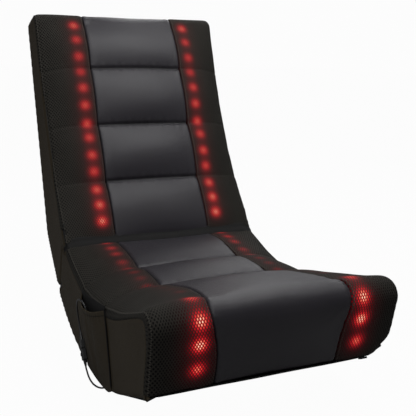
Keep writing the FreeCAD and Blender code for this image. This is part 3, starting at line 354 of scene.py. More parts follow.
# Centre pads. Foam under smooth black imitation leather, sewn down across the chair in channels,
# so that each panel crowns between its seams and puckers a little where the thread pulls it in.
SEAT_LINE = [(0.180, 0.200), (0.169, 0.1935), (0.0956, 0.1900), (0.0235, 0.1797), (-0.0408, 0.1840),
             (-0.1055, 0.1846), (-0.2072, 0.2130), (-0.3120, 0.2347), (-0.3497, 0.2285), (-0.3578, 0.1920),
             (-0.3499, 0.1474), (-0.3386, 0.1036), (-0.3300, 0.0700)]
BACK_LINE = [(0.480, 0.6560), (0.4526, 0.6645), (0.4257, 0.6650), (0.4099, 0.6488), (0.3747, 0.6000),
             (0.3542, 0.5480), (0.3196, 0.4904), (0.3004, 0.4260), (0.2632, 0.3718), (0.2410, 0.3100),
             (0.1979, 0.2562), (0.169, 0.1935), (0.163, 0.180)]
SEAT_SEAMS = [(0.0235, 0.1797), (-0.1055, 0.1846)]
BACK_SEAMS = [(0.3542, 0.5480), (0.3004, 0.4260), (0.2410, 0.3100)]
SEAM_X = 0.1078
LIGHT_X = 0.1319
OUTER_X = 0.2117
HALF_WIDTH = 0.215


def smooth_line(points, count=None):
    """The points as a soft dense line, and how far along it each of its points is."""
    line = np.array(points, float)
    for _ in range(3):
        before, after = line[:-1], line[1:]
        cut = np.empty((2 * len(before), line.shape[1]))
        cut[0::2] = 0.75 * before + 0.25 * after
        cut[1::2] = 0.25 * before + 0.75 * after
        line = np.vstack([line[:1], cut, line[-1:]])
    run = np.concatenate([[0.0], np.cumsum(np.linalg.norm(np.diff(line, axis=0), axis=1))])
    even = np.linspace(0.0, run[-1], count) if count else np.arange(0.0, run[-1], 0.0015)
    return np.column_stack([np.interp(even, run, line[:, k]) for k in range(line.shape[1])]), even


def along(profile, points):
    """How far along the profile the nearest place to each (y, z) is."""
    line, run = profile
    way = np.gradient(line, axis=0)
    way /= np.linalg.norm(way, axis=1)[:, None]
    found = np.empty(len(points))
    for start in range(0, len(points), 4000):
        part = points[start:start + 4000]
        near = ((part[:, None, :] - line[None, :, :]) ** 2).sum(2).argmin(1)
        found[start:start + 4000] = run[near] + ((part - line[near]) * way[near]).sum(1)
    return found


def corners_of(piece):
    flat = np.empty(len(piece.data.vertices) * 3)
    piece.data.vertices.foreach_get("co", flat)
    return flat.reshape(-1, 3)


def normals_of(piece):
    flat = np.empty(len(piece.data.vertices) * 3, np.float32)
    piece.data.vertices.foreach_get("normal", flat)
    return flat.reshape(-1, 3).astype(float)


def move_to(piece, places):
    piece.data.vertices.foreach_set("co", places.ravel())
    piece.data.update()


def only(piece):
    bpy.ops.object.select_all(action="DESELECT")
    piece.select_set(True)
    bpy.context.view_layer.objects.active = piece


def copy_of(name, *nodes):
    """One new piece with the merged solids of these CAD nodes."""
    copies = []
    for node in nodes:
        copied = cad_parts[node].copy()
        copied.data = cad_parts[node].data.copy()
        copied.parent = None
        for key in list(copied.keys()):
            if key.startswith("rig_"):
                del copied[key]
        bpy.context.scene.collection.objects.link(copied)
        copies.append(copied)
    bpy.ops.object.select_all(action="DESELECT")
    for copied in copies:
        copied.select_set(True)
    bpy.context.view_layer.objects.active = copies[0]
    if len(copies) > 1:
        bpy.ops.object.join()
    piece = bpy.context.object
    piece.name = name
    piece.data.name = name
    piece.data.materials.clear()
    bpy.ops.object.mode_set(mode="EDIT")
    bpy.ops.mesh.select_all(action="SELECT")
    bpy.ops.mesh.remove_doubles(threshold=0.00001)
    bpy.ops.object.mode_set(mode="OBJECT")
    return piece


def finished(piece, kind, amount):
    """Adds one modifier, sets it and applies it."""
    only(piece)
    added = piece.modifiers.new(kind.lower(), kind)
    for name, value in amount.items():
        setattr(added, name, value)
    bpy.ops.object.modifier_apply(modifier=added.name)


def smoothstep(value, low, high):
    share = np.clip((value - low) / (high - low), 0, 1)
    return share * share * (3 - 2 * share)


def stuff(piece, profile, seams, ends, voxel, swell, shrink):
    """Blows the foam up under its cover with cloth, held at its seams, its two ends and its underside."""
    finished(piece, "REMESH", {"mode": "VOXEL", "voxel_size": voxel})
    rest = corners_of(piece)
    out = normals_of(piece)
    run = along(profile, rest[:, 1:])
    line, every = profile
    way = np.gradient(line, axis=0)
    at = np.clip((run / 0.0015).astype(int), 0, len(line) - 1)
    way = way[at] / np.linalg.norm(way[at], axis=1)[:, None]
    facing = out[:, 1] * -way[:, 1] + out[:, 2] * way[:, 0]
    facing *= -1 if np.median(facing[np.abs(facing) > 0.8]) < 0 else 1
    upper = smoothstep(facing, 0.25, 0.7)
    gap = np.abs(run[:, None] - np.array(seams)[None, :]).min(1)
    edge = np.minimum(rest[:, 0] - ends[0], ends[1] - rest[:, 0])
    free = upper * smoothstep(gap, 0.003, 0.012) * smoothstep(edge, 0.003, 0.016)
    start = rest - out * (shrink * upper * smoothstep(edge, 0.0, 0.02))[:, None]
    move_to(piece, start)
    held = piece.vertex_groups.new(name="held")
    for level in range(11):
        members = np.nonzero(np.round((1 - free) * 10) == level)[0].tolist()
        if members:
            held.add(members, level / 10, "REPLACE")
    cloth = piece.modifiers.new("cloth", "CLOTH")
    cloth.settings.quality = 4
    cloth.settings.mass = 0.25
    cloth.settings.tension_stiffness = 12
    cloth.settings.compression_stiffness = 12
    cloth.settings.shear_stiffness = 6
    cloth.settings.bending_stiffness = 0.6
    cloth.settings.use_pressure = True
    cloth.settings.uniform_pressure_force = 4.0
    cloth.settings.vertex_group_mass = "held"
    cloth.settings.effector_weights.gravity = 0
    cloth.point_cache.frame_start = 1
    cloth.point_cache.frame_end = 20
    for tick in range(1, 21):
        bpy.context.scene.frame_set(tick)
    only(piece)
    bpy.ops.object.modifier_apply(modifier=cloth.name)
    bpy.context.scene.frame_set(1)
    moved = corners_of(piece) - start
    piece.vertex_groups.clear()
    reach = np.linalg.norm(moved, axis=1)
    moved *= (np.minimum(reach, swell) / np.maximum(reach, 1e-9) * np.minimum(free * 1.5, 1))[:, None]
    move_to(piece, start + moved)
    finished(piece, "SMOOTH", {"factor": 0.5, "iterations": 2})
    if voxel > 0.0035:
        finished(piece, "SUBSURF", {"levels": 1, "render_levels": 1})


def pucker(piece, profile, seams, ends, depth, width):
    """Draws the cover down along each sewn channel, with small puckers beside the thread."""
    rest = corners_of(piece)
    out = normals_of(piece)
    run = along(profile, rest[:, 1:])
    x = rest[:, 0]
    sink = np.zeros(len(rest))
    for number, seam in enumerate(seams):
        gap = np.abs(run - seam)
        ripple = np.sin(x * 260 + 2.1 * number) + 0.7 * np.sin(x * 417 + 1.3 * number + 8 * (run - seam))
        sink += depth * np.exp(-(gap / width) ** 2)
        sink += 0.00035 * ripple * np.exp(-((gap - 1.6 * width) / (1.6 * width)) ** 2)
    inside = smoothstep(np.minimum(x - ends[0], ends[1] - x), -0.003, 0.004)
    broad = 0.0008 * np.sin(x * 31 + run * 23) * np.sin(run * 41 - x * 17)
    move_to(piece, rest - out * ((sink + broad) * inside)[:, None])


def lay_map(piece, profile):
    """The piece's own map: across the chair and along its profile, in metres."""
    places = corners_of(piece)
    table = np.column_stack([places[:, 0], along(profile, places[:, 1:])])
    corner = np.empty(len(piece.data.loops), np.int32)
    piece.data.loops.foreach_get("vertex_index", corner)
    chart = piece.data.uv_layers.get("cloth") or piece.data.uv_layers.new(name="cloth")
    chart.data.foreach_set("uv", table[corner].astype(np.float32).ravel())
    only(piece)
    bpy.ops.object.shade_smooth()


seat_profile = smooth_line(SEAT_LINE)
back_profile = smooth_line(BACK_LINE)
seat_seams = along(seat_profile, np.array(SEAT_SEAMS)).tolist()
back_seams = along(back_profile, np.array(BACK_SEAMS)).tolist()

leather = {}
for part, seams in (("seat", seat_seams), ("back", back_seams)):
    made = Finish(part + "_leather", {"Specular IOR Level": 0.3})
    leather[part] = made
    chart = made.node("ShaderNodeUVMap", {"uv_map": "cloth"})
    cell = made.node("ShaderNodeTexVoronoi", {"feature": "DISTANCE_TO_EDGE"},
                     {"Vector": made.place(), "Scale": 900.0})
    cloud = made.noise(made.place(), 14.0, 3.0)
    sheen = made.noise(made.place(), 160.0, 3.0)
    shade = made.blend((0.0155, 0.0140, 0.0170), (0.0220, 0.0200, 0.0240), cloud)
    across = made.node("ShaderNodeSeparateXYZ", sockets={"Vector": chart}, out=0)
    down = made.node("ShaderNodeSeparateXYZ", sockets={"Vector": chart}, out=1)
    gap = abs(down - seams[0])
    for seam in seams[1:]:
        gap = gap.least(abs(down - seam))
    edge = SEAM_X - abs(across)
    thread = (1.0 - gap.clear_of(0.0004, 0.0016)) * (across / 0.0042).fraction().clear_of(0.12, 0.3)
    # Dark at each seam: the sewn line itself, and painted shade fading out over the sides of its groove.
    seam_line_shade = 1.0 - gap.clear_of(0.0008, 0.0030)
    made.feed("Base Color", made.blend(shade, (0.003, 0.003, 0.003), seam_line_shade * 0.7))
    made.feed("Roughness", 0.40 + 0.12 * sheen + 0.15 * seam_line_shade)
    grain = cell.clear_of(0.0, 0.25) * 0.35 + sheen * 0.2 + thread * 0.5 - seam_line_shade * 0.5
    made.relief(grain + 0.5, 0.0005, 0.5)


def lean_out(piece, profile):
    """Over the front roll the long seams bow out, because the centre pad is the fuller one there."""
    places = corners_of(piece)
    x = places[:, 0]
    apart = along(profile, places[:, 1:]) - along(profile, np.array([(-0.345, 0.225)]))
    inner = (np.abs(x) / SEAM_X) ** 2
    outer = 1 - np.clip((np.abs(x) - SEAM_X) / (OUTER_X - SEAM_X), 0, 1) ** 1.5
    pull = 0.014 * np.exp(-(apart / 0.05) ** 2) * np.where(np.abs(x) < SEAM_X, inner, outer)
    places[:, 0] += np.sign(x) * pull
    move_to(piece, places)


def settle(piece, body):
    """The padding over the top rail is pressed down a little; the cloth gathered under the front hangs as
    a small tab at one lower corner and is drawn in at the other."""
    places = corners_of(piece)
    if body == "back":
        places[:, 2] -= 0.003 * smoothstep(places[:, 2], 0.57, 0.66)
    else:
        for side, reach, shift in ((-1, 0.010, (-0.0005, -0.001, -0.0055)), (1, 0.026, (-0.011, 0.004, 0.012))):
            corner = np.array([side * 0.215, -0.3358, 0.0968])
            near = np.exp(-((places - corner) ** 2).sum(1) / reach ** 2)
            places += near[:, None] * np.array(shift)
    move_to(piece, places)


def close_channel(piece, profile):
    """The cover is stretched flat over the channel that the light strip lies in."""
    finished(piece, "REMESH", {"mode": "VOXEL", "voxel_size": 0.003})
    places = corners_of(piece)
    line, every = profile
    run = along(profile, places[:, 1:])
    at = np.clip((run / 0.0015).astype(int), 0, len(line) - 1)
    way = np.gradient(line, axis=0)[at]
    out = np.column_stack([way[:, 1], -way[:, 0]]) / np.linalg.norm(way, axis=1)[:, None]
    height = ((places[:, 1:] - line[at]) * out).sum(1)
    facing = (normals_of(piece)[:, 1:] * out).sum(1)
    x = np.abs(places[:, 0])
    stops = np.arange(run.min(), run.max() + 0.004, 0.004)
    sides = []
    for beside in (LIGHT_X - 0.0095, LIGHT_X + 0.0095):
        chosen = np.abs(x - beside) < 0.0022
        level = np.full(len(stops), np.nan)
        for k, stop in enumerate(stops):
            here = height[chosen & (np.abs(run - stop) < 0.004)]
            if len(here):
                level[k] = here.max()
        known = ~np.isnan(level)
        sides.append(np.interp(run, stops[known], level[known]))
    share = np.clip((x - LIGHT_X + 0.0095) / 0.019, 0, 1)
    target = sides[0] * (1 - share) + sides[1] * share
    sunk = (np.abs(x - LIGHT_X) < 0.0092) & (height > target - 0.024) & (facing > -0.3)
    places[:, 1:] += out * np.where(sunk, target - height, 0)[:, None]
    move_to(piece, places)


def pad(name, nodes, profile, seams, ends, voxel, swell, shrink, groove):
    piece = copy_of(name, *nodes)
    if len(nodes) > 1:
        close_channel(piece, profile)
    stuff(piece, profile, seams, ends, voxel, swell, shrink)
    pucker(piece, profile, seams, ends, *groove)
    lay_map(piece, profile)
    if profile is seat_profile:
        lean_out(piece, profile)
    return piece


def cover(piece, finish, body, slot, *nodes):
    """Its finish, the body it moves with and the solids it stands for."""
    piece.data.materials.append(finish.made)
    if body:
        settle(piece, body)
        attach(piece, body)
    if nodes:
        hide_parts(*nodes)
    return piece


cover(pad("seat_centre_cushion", ["seat_centre_pad"], seat_profile, seat_seams, (-SEAM_X, SEAM_X),
                    0.004, 0.004, 0.0015, (0.0030, 0.0036)),
                leather["seat"], "seat", "centre_panel", "seat_centre_pad")
cover(pad("back_centre_cushion", ["back_centre_pad"], back_profile, back_seams, (-SEAM_X, SEAM_X),
                    0.004, 0.0045, 0.0015, (0.0032, 0.0036)),
                leather["back"], "back", "centre_panel", "back_centre_pad")

# Side pads. The same foam under black spacer mesh, whose open cells let the red diodes of the strip
# glow through, sewn to the centre pads with a row of lighter stitches.
mesh_cloth = Finish("side_mesh", {"Roughness": 0.85, "Specular IOR Level": 0.12, "Emission Strength": 1.0})
chart = mesh_cloth.node("ShaderNodeUVMap", {"uv_map": "cloth"})
across = mesh_cloth.node("ShaderNodeSeparateXYZ", sockets={"Vector": chart}, out=0)
down = mesh_cloth.node("ShaderNodeSeparateXYZ", sockets={"Vector": chart}, out=1)
CELL = 0.0050
rise = ((across + down * 0.62) / CELL).wave()
fall = ((across - down * 0.62) / CELL).wave()
hole = (rise * fall).clear_of(0.12, 0.5)
cloud = mesh_cloth.noise(mesh_cloth.place(), 22.0, 2.0)
yarn = mesh_cloth.blend((0.0200, 0.0182, 0.0150), (0.0275, 0.0255, 0.0215), cloud)
shade = mesh_cloth.blend(yarn, (0.0012, 0.0012, 0.0012), hole)
side_edge = abs(abs(across) - (SEAM_X + 0.0026)).least(abs(abs(across) - (OUTER_X - 0.0030)))
stitch = (1.0 - side_edge.clear_of(0.0005, 0.0010)) * (down / 0.0040).fraction().clear_of(0.35, 0.5)
mesh_cloth.feed("Base Color", mesh_cloth.blend(shade, (0.06, 0.056, 0.048), stitch * 0.75))
glow = mesh_cloth.node("ShaderNodeAttribute", {"attribute_name": "glow"}, out="Fac")
spark = glow * (0.34 + 0.66 * hole)
colours = mesh_cloth.node("ShaderNodeValToRGB", {"stops": [
    (0.0, (0.0, 0.0, 0.0)), (1.0, (1.0, 0.74, 0.50)), (0.10, (0.022, 0.0, 0.001)),
    (0.34, (0.26, 0.003, 0.007)), (0.62, (0.80, 0.02, 0.025)), (0.82, (1.0, 0.22, 0.12))]}, {"Fac": spark})
mesh_cloth.feed("Emission Color", colours)
mesh_cloth.relief((1.0 - hole) * 0.7 + stitch * 0.5, 0.0009, 0.8)


FRONT_LIGHT_X = 0.1395
FRONT_CORNER = (-0.3400, 0.2060)
BACK_LIGHTS = [(0.4075, 0.642), (0.3885, 0.606), (0.3665, 0.572), (0.3535, 0.537), (0.3365, 0.502),
               (0.3195, 0.467), (0.2985, 0.430), (0.2865, 0.398), (0.2695, 0.362), (0.2535, 0.329),
               (0.2265, 0.296), (0.2075, 0.265), (0.1905, 0.233)]
SEAT_LIGHTS = [(0.1605, 0.189), (0.1215, 0.183), (0.0875, 0.178), (0.0465, 0.176), (0.0135, 0.176),
               (-0.028, 0.183), (-0.066, 0.184), (-0.105, 0.184), (-0.145, 0.196), (-0.184, 0.207),
               (-0.222, 0.217), (-0.258, 0.227), (-0.3205, 0.2333), (-0.3527, 0.2148), (-0.3554, 0.1786),
               (-0.3474, 0.1375)]


def light_up(piece, lights, profile, strengths):
    """Writes how brightly each point glows from the diodes below it."""
    places = corners_of(piece)
    run = along(profile, places[:, 1:])
    glow = np.zeros(len(places))
    for (y, z), strength, middle in zip(lights, strengths, along(profile, np.array(lights))):
        across = FRONT_LIGHT_X if y < -0.3 else LIGHT_X
        apart = np.hypot(np.abs(places[:, 0]) - across, run - middle)
        glow += strength * (0.80 * np.exp(-(apart / 0.0115) ** 2) + 0.20 * np.exp(-(apart / 0.0240) ** 2))
    marks = piece.data.attributes.new("glow", "FLOAT", "POINT")
    marks.data.foreach_set("value", np.clip(glow, 0, 1).astype(np.float32))


def rim_of(piece, face_x, sign):
    """The outline of a flat cover: the edges of its face at x, each with the face on its left."""
    places = corners_of(piece)
    on_face = np.abs(places[:, 0] - face_x) < 0.0001
    ways = set()
    for face in piece.data.polygons:
        if all(on_face[v] for v in face.vertices):
            ring = list(face.vertices)
            if face.normal.x * sign < 0:
                ring.reverse()
            if sign < 0:
                ring.reverse()
            ways.update(zip(ring, ring[1:] + ring[:1]))
    return np.array([(places[a, 1:], places[b, 1:]) for a, b in ways if (b, a) not in ways])


def faces_sitter(outwards):
    """Whether an edge of the side is one that the pads lie along."""
    return outwards[..., 1] * 0.8 - outwards[..., 0] * 0.6 > 0.1


def from_rim(points, rim):
    """How far each point is from the outline, and which way is out of it there."""
    best = np.full(len(points), 9.0)
    outwards = np.zeros((len(points), 2))
    for a, b in rim:
        way = b - a
        share = np.clip(((points - a) @ way) / max(way @ way, 1e-12), 0, 1)
        apart = np.linalg.norm(points - a - share[:, None] * way, axis=1)
        side = np.array([way[1], -way[0]]) / max(np.linalg.norm(way), 1e-9)
        closer = apart < best
        best[closer] = apart[closer]
        outwards[closer] = side
    return best, outwards


def padded_rim(node, sign):
    """The part of a side's outline that the pads lie along."""
    places = corners_of(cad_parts[node])
    rim = rim_of(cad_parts[node], places[:, 0].max() if sign > 0 else places[:, 0].min(), sign)
    ways = rim[:, 1] - rim[:, 0]
    sides = np.column_stack([ways[:, 1], -ways[:, 0]]) / np.linalg.norm(ways, axis=1)[:, None]
    return rim[faces_sitter(sides)]


def wrap_depth(points, body):
    """How far down the side the mesh is pulled: most beside the hollow of the seat and at its front corner."""
    if body == "back":
        return np.full(len(points), 0.0105)
    corner = 0.009 * np.exp(-((points - np.array(FRONT_CORNER)) ** 2).sum(1) / 0.022 ** 2)
    return 0.0145 - 0.0025 * smoothstep(-points[:, 0], 0.20, 0.28) + corner


def roll_over(piece, rim, body):
    """Turns the outer edge of a side pad down in a soft curve and a little way over the boxing."""
    places = corners_of(piece)
    outer = np.nonzero(np.abs(places[:, 0]) > 0.180)[0]
    here = places[outer]
    radius, fall = (0.013, 0.0070) if body == "back" else (0.019, 0.0100)
    depth, outwards = from_rim(here[:, 1:], rim)
    reach = OUTER_X - 0.012
    x = np.abs(here[:, 0])
    wide = np.where(x > reach, reach + (x - reach) * (0.2154 - reach) / (OUTER_X - reach), x)
    beyond = np.clip((wide - (0.2154 - radius)) / radius, 0, 1)
    limit = wrap_depth(here[:, 1:], body)
    drop = fall * (1 - np.sqrt(1 - beyond ** 2)) * (1 - np.clip(depth / limit, 0, 1))
    below = depth + drop
    kept = 1 - smoothstep(below, limit, limit + 0.004)
    here[:, 0] = np.sign(here[:, 0]) * (x + (wide - x) * kept)
    here[:, 1:] -= outwards * drop[:, None]
    places[outer] = here
    move_to(piece, places)
    finished(piece, "SMOOTH", {"factor": 0.4, "iterations": 1})


back_strengths = [0.85, 0.7, 0.7, 0.65, 0.75, 0.8, 0.8, 0.75, 0.8, 0.75, 0.85, 0.9, 0.95]
seat_strengths = [0.55, 0.5, 0.45, 0.38, 0.36, 0.28, 0.25, 0.3, 0.2, 0.15, 0.15, 0.2, 0.75, 1.05, 1.1, 0.85]
for side, sign in (("left", 1), ("right", -1)):
    ends = (SEAM_X, OUTER_X) if sign > 0 else (-OUTER_X, -SEAM_X)
    for body, profile, seams, lights, strengths, groove in (
            ("seat", seat_profile, seat_seams, SEAT_LIGHTS, seat_strengths, 0.0012),
            ("back", back_profile, back_seams, BACK_LIGHTS, back_strengths, 0.0014)):
        own = [body + "_mesh_pad_" + side, body + "_light_strip_" + side]
        piece = pad(body + "_side_cushion_" + side, own, profile, seams, ends, 0.003, 0.003, 0.0, (groove, 0.0030))
        roll_over(piece, padded_rim(body + "_side_cover_" + side, sign), body)
        light_up(piece, lights, profile, strengths)
        cover(piece, mesh_cloth, body, "side_mesh", *own)

# Boxing. The flat sides are imitation leather with thin wadding behind it, pulled over the edges of the
# side boards and stapled under them, so the face is slightly uneven and its edges are soft.
boxing = Finish("boxing", {"Specular IOR Level": 0.06})
cell = boxing.node("ShaderNodeTexVoronoi", {"feature": "DISTANCE_TO_EDGE"},
                   {"Vector": boxing.place(), "Scale": 700.0})
cloud = boxing.noise(boxing.place(), 9.0, 4.0)
fine = boxing.noise(boxing.place(), 380.0, 2.0)
tone = boxing.blend((0.0390, 0.0308, 0.0190), (0.0495, 0.0395, 0.0255), cloud)
boxing.feed("Base Color", boxing.blend(tone, (0.006, 0.005, 0.004), 0.4 - 0.4 * cell.clear_of(0.0, 0.2)))
boxing.feed("Roughness", 0.52 + 0.14 * fine)
boxing.relief(cell.clear_of(0.0, 0.25) * 0.5 + fine * 0.5, 0.0005, 0.55)


def slice_up(piece, axis, step):
    """Cuts the faces by planes across an axis, so that the cover can be shaped."""
    only(piece)
    places = corners_of(piece)
    low, high = places[:, axis].min(), places[:, axis].max()
    count = max(1, round((high - low) / step))
    across = [0.0, 0.0, 0.0]
    across[axis] = 1.0
    bpy.ops.object.mode_set(mode="EDIT")
    for i in range(1, count):
        at = [0.0, 0.0, 0.0]
        at[axis] = low + (high - low) * i / count
        bpy.ops.mesh.select_all(action="SELECT")
        bpy.ops.mesh.bisect(plane_co=at, plane_no=across, use_fill=False, clear_inner=False, clear_outer=False)
    bpy.ops.object.mode_set(mode="OBJECT")


def boxed(name, node, sign, body):
    """A side cover: sliced into a grid, its edges rounded over and its face a little uneven."""
    piece = copy_of(name, node)
    only(piece)
    bpy.ops.object.mode_set(mode="EDIT")
    bpy.ops.mesh.select_all(action="SELECT")
    bpy.ops.mesh.dissolve_limited(angle_limit=math.radians(0.5))
    bpy.ops.object.mode_set(mode="OBJECT")
    places = corners_of(piece)
    face_x = places[:, 0].max() if sign > 0 else places[:, 0].min()
    rim = rim_of(piece, face_x, sign)
    slice_up(piece, 1, 0.006)
    slice_up(piece, 2, 0.006)
    places = corners_of(piece)
    outer = np.abs(places[:, 0] - face_x) < 0.0001
    near, outwards = from_rim(places[:, 1:], rim)
    sitter_side = faces_sitter(outwards)
    radius = np.where(sitter_side, 0.010, 0.0035)
    sink = radius - np.sqrt(radius ** 2 - (radius - np.minimum(near, radius)) ** 2)
    sink = np.minimum(sink, 0.0026)
    y, z = places[:, 1].copy(), places[:, 2].copy()
    sink += 0.0004 * (1 + np.sin(y * 37 + z * 11) * np.sin(z * 43 - y * 9)) * smoothstep(near, 0.010, 0.04)
    places[:, 0] -= sign * np.where(outer, sink, 0)
    under = wrap_depth(places[:, 1:], body) - (0.007 if body == "back" else 0.003)
    lowered = np.where(sitter_side, under * (1 - smoothstep(near, 0.0, under * 2 + 0.004)), 0.0)
    lowered *= 1 - smoothstep(y, 0.455, 0.475)
    by_fold = (1 - smoothstep(np.hypot(y - 0.169, z - 0.1935), 0.085, 0.095)) * np.where(sitter_side, 0.35, 1.0)
    lip = 0.0035 + 0.0095 * by_fold
    places[:, 0] -= sign * np.where(outer, 0.0, lip * (1 - smoothstep(near, 0.003, 0.008)))
    places[:, 1:] += outwards * (0.0006 * by_fold * (1 - smoothstep(near, 0.0, 0.004)) - lowered)[:, None]
    move_to(piece, places)
    only(piece)
    bpy.ops.object.shade_smooth_by_angle(angle=math.radians(50))
    cover(piece, boxing, body, "boxing", node)


for side, sign in (("left", 1), ("right", -1)):
    boxed("seat_boxing_" + side, "seat_side_cover_" + side, sign, "seat")
    boxed("back_boxing_" + side, "back_side_cover_" + side, sign, "back")

# Wraps. Plain black woven cloth closes the underside of the seat and the rear of the back;
# it is stretched over the edges of the boards, so it bridges between them in faint flat hollows.
woven = Finish("wrap_fabric", {"Specular IOR Level": 0.15})
where = woven.place()
weft = (woven.node("ShaderNodeSeparateXYZ", sockets={"Vector": where}, out=0) / 0.0012).wave()
height_run = woven.node("ShaderNodeSeparateXYZ", sockets={"Vector": where}, out=2)
depth_run = woven.node("ShaderNodeSeparateXYZ", sockets={"Vector": where}, out=1)
warp = ((height_run + depth_run) / 0.0014).wave()
cloud = woven.noise(where, 18.0, 3.0)
weave = (weft * 0.5 + warp * 0.5) * 0.8 + 0.2 * cloud
woven.feed("Base Color", woven.blend((0.005, 0.005, 0.005), (0.016, 0.0155, 0.015), weave))
woven.feed("Roughness", 0.75 + 0.15 * cloud)
woven.relief(weave, 0.0004, 0.7)


def wrapped(name, node, body):
    piece = copy_of(name, node)
    slice_up(piece, 0, 0.012)
    places = corners_of(piece)
    out = normals_of(piece)
    x, y, z = places.T
    dent = 0.0003 * (1 + np.sin(x * 29 + y * 13) * np.sin(z * 23 + x * 7 + 1))
    dent *= smoothstep(0.2117 - np.abs(x), 0.0, 0.02)
    move_to(piece, places - out * dent[:, None])
    only(piece)
    bpy.ops.object.shade_smooth_by_angle(angle=math.radians(40))
    cover(piece, woven, body, "wrap_fabric", node)


wrapped("seat_underside_wrap", "seat_underside_cover", "seat")
wrapped("back_rear_wrap", "back_rear_cover", "back")

# Crease gusset. A strip of the plain black cloth is sewn between seat and back over the hinges,
# so that neither foam nor steel shows when the back folds.
GUSSET_LINE = [(0.1575, 0.1900), (0.1600, 0.1938), (0.1635, 0.1966), (0.1667, 0.1984), (0.1700, 0.2002),
               (0.1724, 0.2028), (0.1745, 0.2058), (0.1775, 0.2070)]


def laid(name, counts, thickness, shape):
    """A sheet of cloth: a grid whose points shape places by their shares across and down, made thick."""
    bpy.ops.mesh.primitive_grid_add(x_subdivisions=counts[0], y_subdivisions=counts[1], size=2)
    piece = bpy.context.object
    piece.name = name
    piece.data.name = name
    share = corners_of(piece)[:, :2] * 0.5 + 0.5
    move_to(piece, shape(np.clip(share[:, 0], 0, 1), np.clip(share[:, 1], 0, 1)))
    finished(piece, "SOLIDIFY", {"thickness": thickness, "offset": 0.0})
    bpy.ops.object.mode_set(mode="EDIT")
    bpy.ops.mesh.select_all(action="SELECT")
    bpy.ops.mesh.normals_make_consistent(inside=False)
    bpy.ops.object.mode_set(mode="OBJECT")
    bpy.ops.object.shade_smooth()
    return piece


def on_line(points, share):
    """The points of a soft line at these shares of its length."""
    line, run = smooth_line(points, 200)
    return np.column_stack([np.interp(share * run[-1], run, line[:, k]) for k in range(line.shape[1])])


def gusset_shape(across, down):
    middle = on_line(GUSSET_LINE, down)
    x = (across - 0.5) * 2 * 0.2116
    dip = 0.0003 * np.sin(x * 90) * np.sin(down * math.pi)
    end = smoothstep(np.abs(x), 0.185, 0.2116)
    return np.column_stack([x, middle[:, 0] - dip + 0.004 * end, middle[:, 1] - dip - 0.0045 * end])


def cheek_shape(sign, edge, front, reach, wrap):
    """Cloth on the side of a board near the fold; with wrap it also goes round the board's front edge."""
    start, end = np.array(edge[0]), np.array(edge[1])

    def shape(across, down):
        on_edge = start + (end - start) * down[:, None]
        turn = np.clip(across / 0.3, 0, 1) if wrap else np.ones(len(across))
        back = np.clip((across - 0.3) / 0.7, 0, 1) if wrap else across
        x = sign * (0.2046 + (0.2124 - 0.2046) * turn)
        on_edge = on_edge + np.array(front) * (0.0007 - reach * back)[:, None]
        return np.column_stack([x, on_edge])

    return shape


gusset = laid("crease_gusset", (80, 14), 0.0010, gusset_shape)
cover(gusset, woven, None, "wrap_fabric")
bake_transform(gusset)
for side, sign in (("left", 1), ("right", -1)):
    cheek = laid("fold_cheek_back_" + side, (20, 20), 0.0005, cheek_shape(
        sign, ((0.1745, 0.1892), (0.2010, 0.2330)), (-0.854, 0.519), 0.026, True))
    cover(cheek, woven, "back", "wrap_fabric")
    cheek = laid("fold_cheek_seat_" + side, (20, 20), 0.0005, cheek_shape(
        sign, ((0.1715, 0.1905), (0.2005, 0.1772)), (0.412, 0.911), 0.022, False))
    cover(cheek, woven, "seat", "wrap_fabric")

# Pocket. A gathered patch of the boxing's material on the right side of the seat, hemmed at the mouth and
# sewn down at its rear and along the lower edge; its mouth stands open on a sheet of the black cloth, which is
# painted shade inside the pocket.
MOUTH = [(-0.2153, 0.0340, 0.1360), (-0.2210, 0.0180, 0.1320), (-0.2260, 0.0000, 0.1300),
         (-0.2290, -0.0250, 0.1305), (-0.2295, -0.0500, 0.1335), (-0.2270, -0.0800, 0.1410),
         (-0.2220, -0.1040, 0.1505), (-0.2156, -0.1250, 0.1590)]
HALF_WAY = [(-0.2153, 0.0220, 0.0720), (-0.2200, 0.0080, 0.0725), (-0.2245, -0.0150, 0.0735),
            (-0.2268, -0.0450, 0.0760), (-0.2272, -0.0750, 0.0800), (-0.2252, -0.1050, 0.0850),
            (-0.2205, -0.1290, 0.0890), (-0.2156, -0.1460, 0.0920)]
FOOT = [(-0.2153, 0.0040, 0.0120), (-0.2162, -0.0180, 0.0125), (-0.2175, -0.0420, 0.0150),
        (-0.2182, -0.0660, 0.0180), (-0.2182, -0.0900, 0.0210), (-0.2175, -0.1140, 0.0250),
        (-0.2162, -0.1380, 0.0290), (-0.2156, -0.1590, 0.0340)]
UNDER = [(-0.2153, 0.0020, 0.0034), (-0.2153, -0.0210, 0.0034), (-0.2153, -0.0450, 0.0038),
         (-0.2153, -0.0690, 0.0052), (-0.2153, -0.0930, 0.0076), (-0.2153, -0.1180, 0.0112),
         (-0.2153, -0.1420, 0.0158), (-0.2156, -0.1620, 0.0275)]
POCKET_LENGTH = 0.135
SHADE_SHEET_TOP = [(-0.2155, 0.0370, 0.1440), (-0.2155, 0.0000, 0.1470), (-0.2155, -0.0400, 0.1530),
              (-0.2155, -0.0800, 0.1595), (-0.2155, -0.1280, 0.1680)]


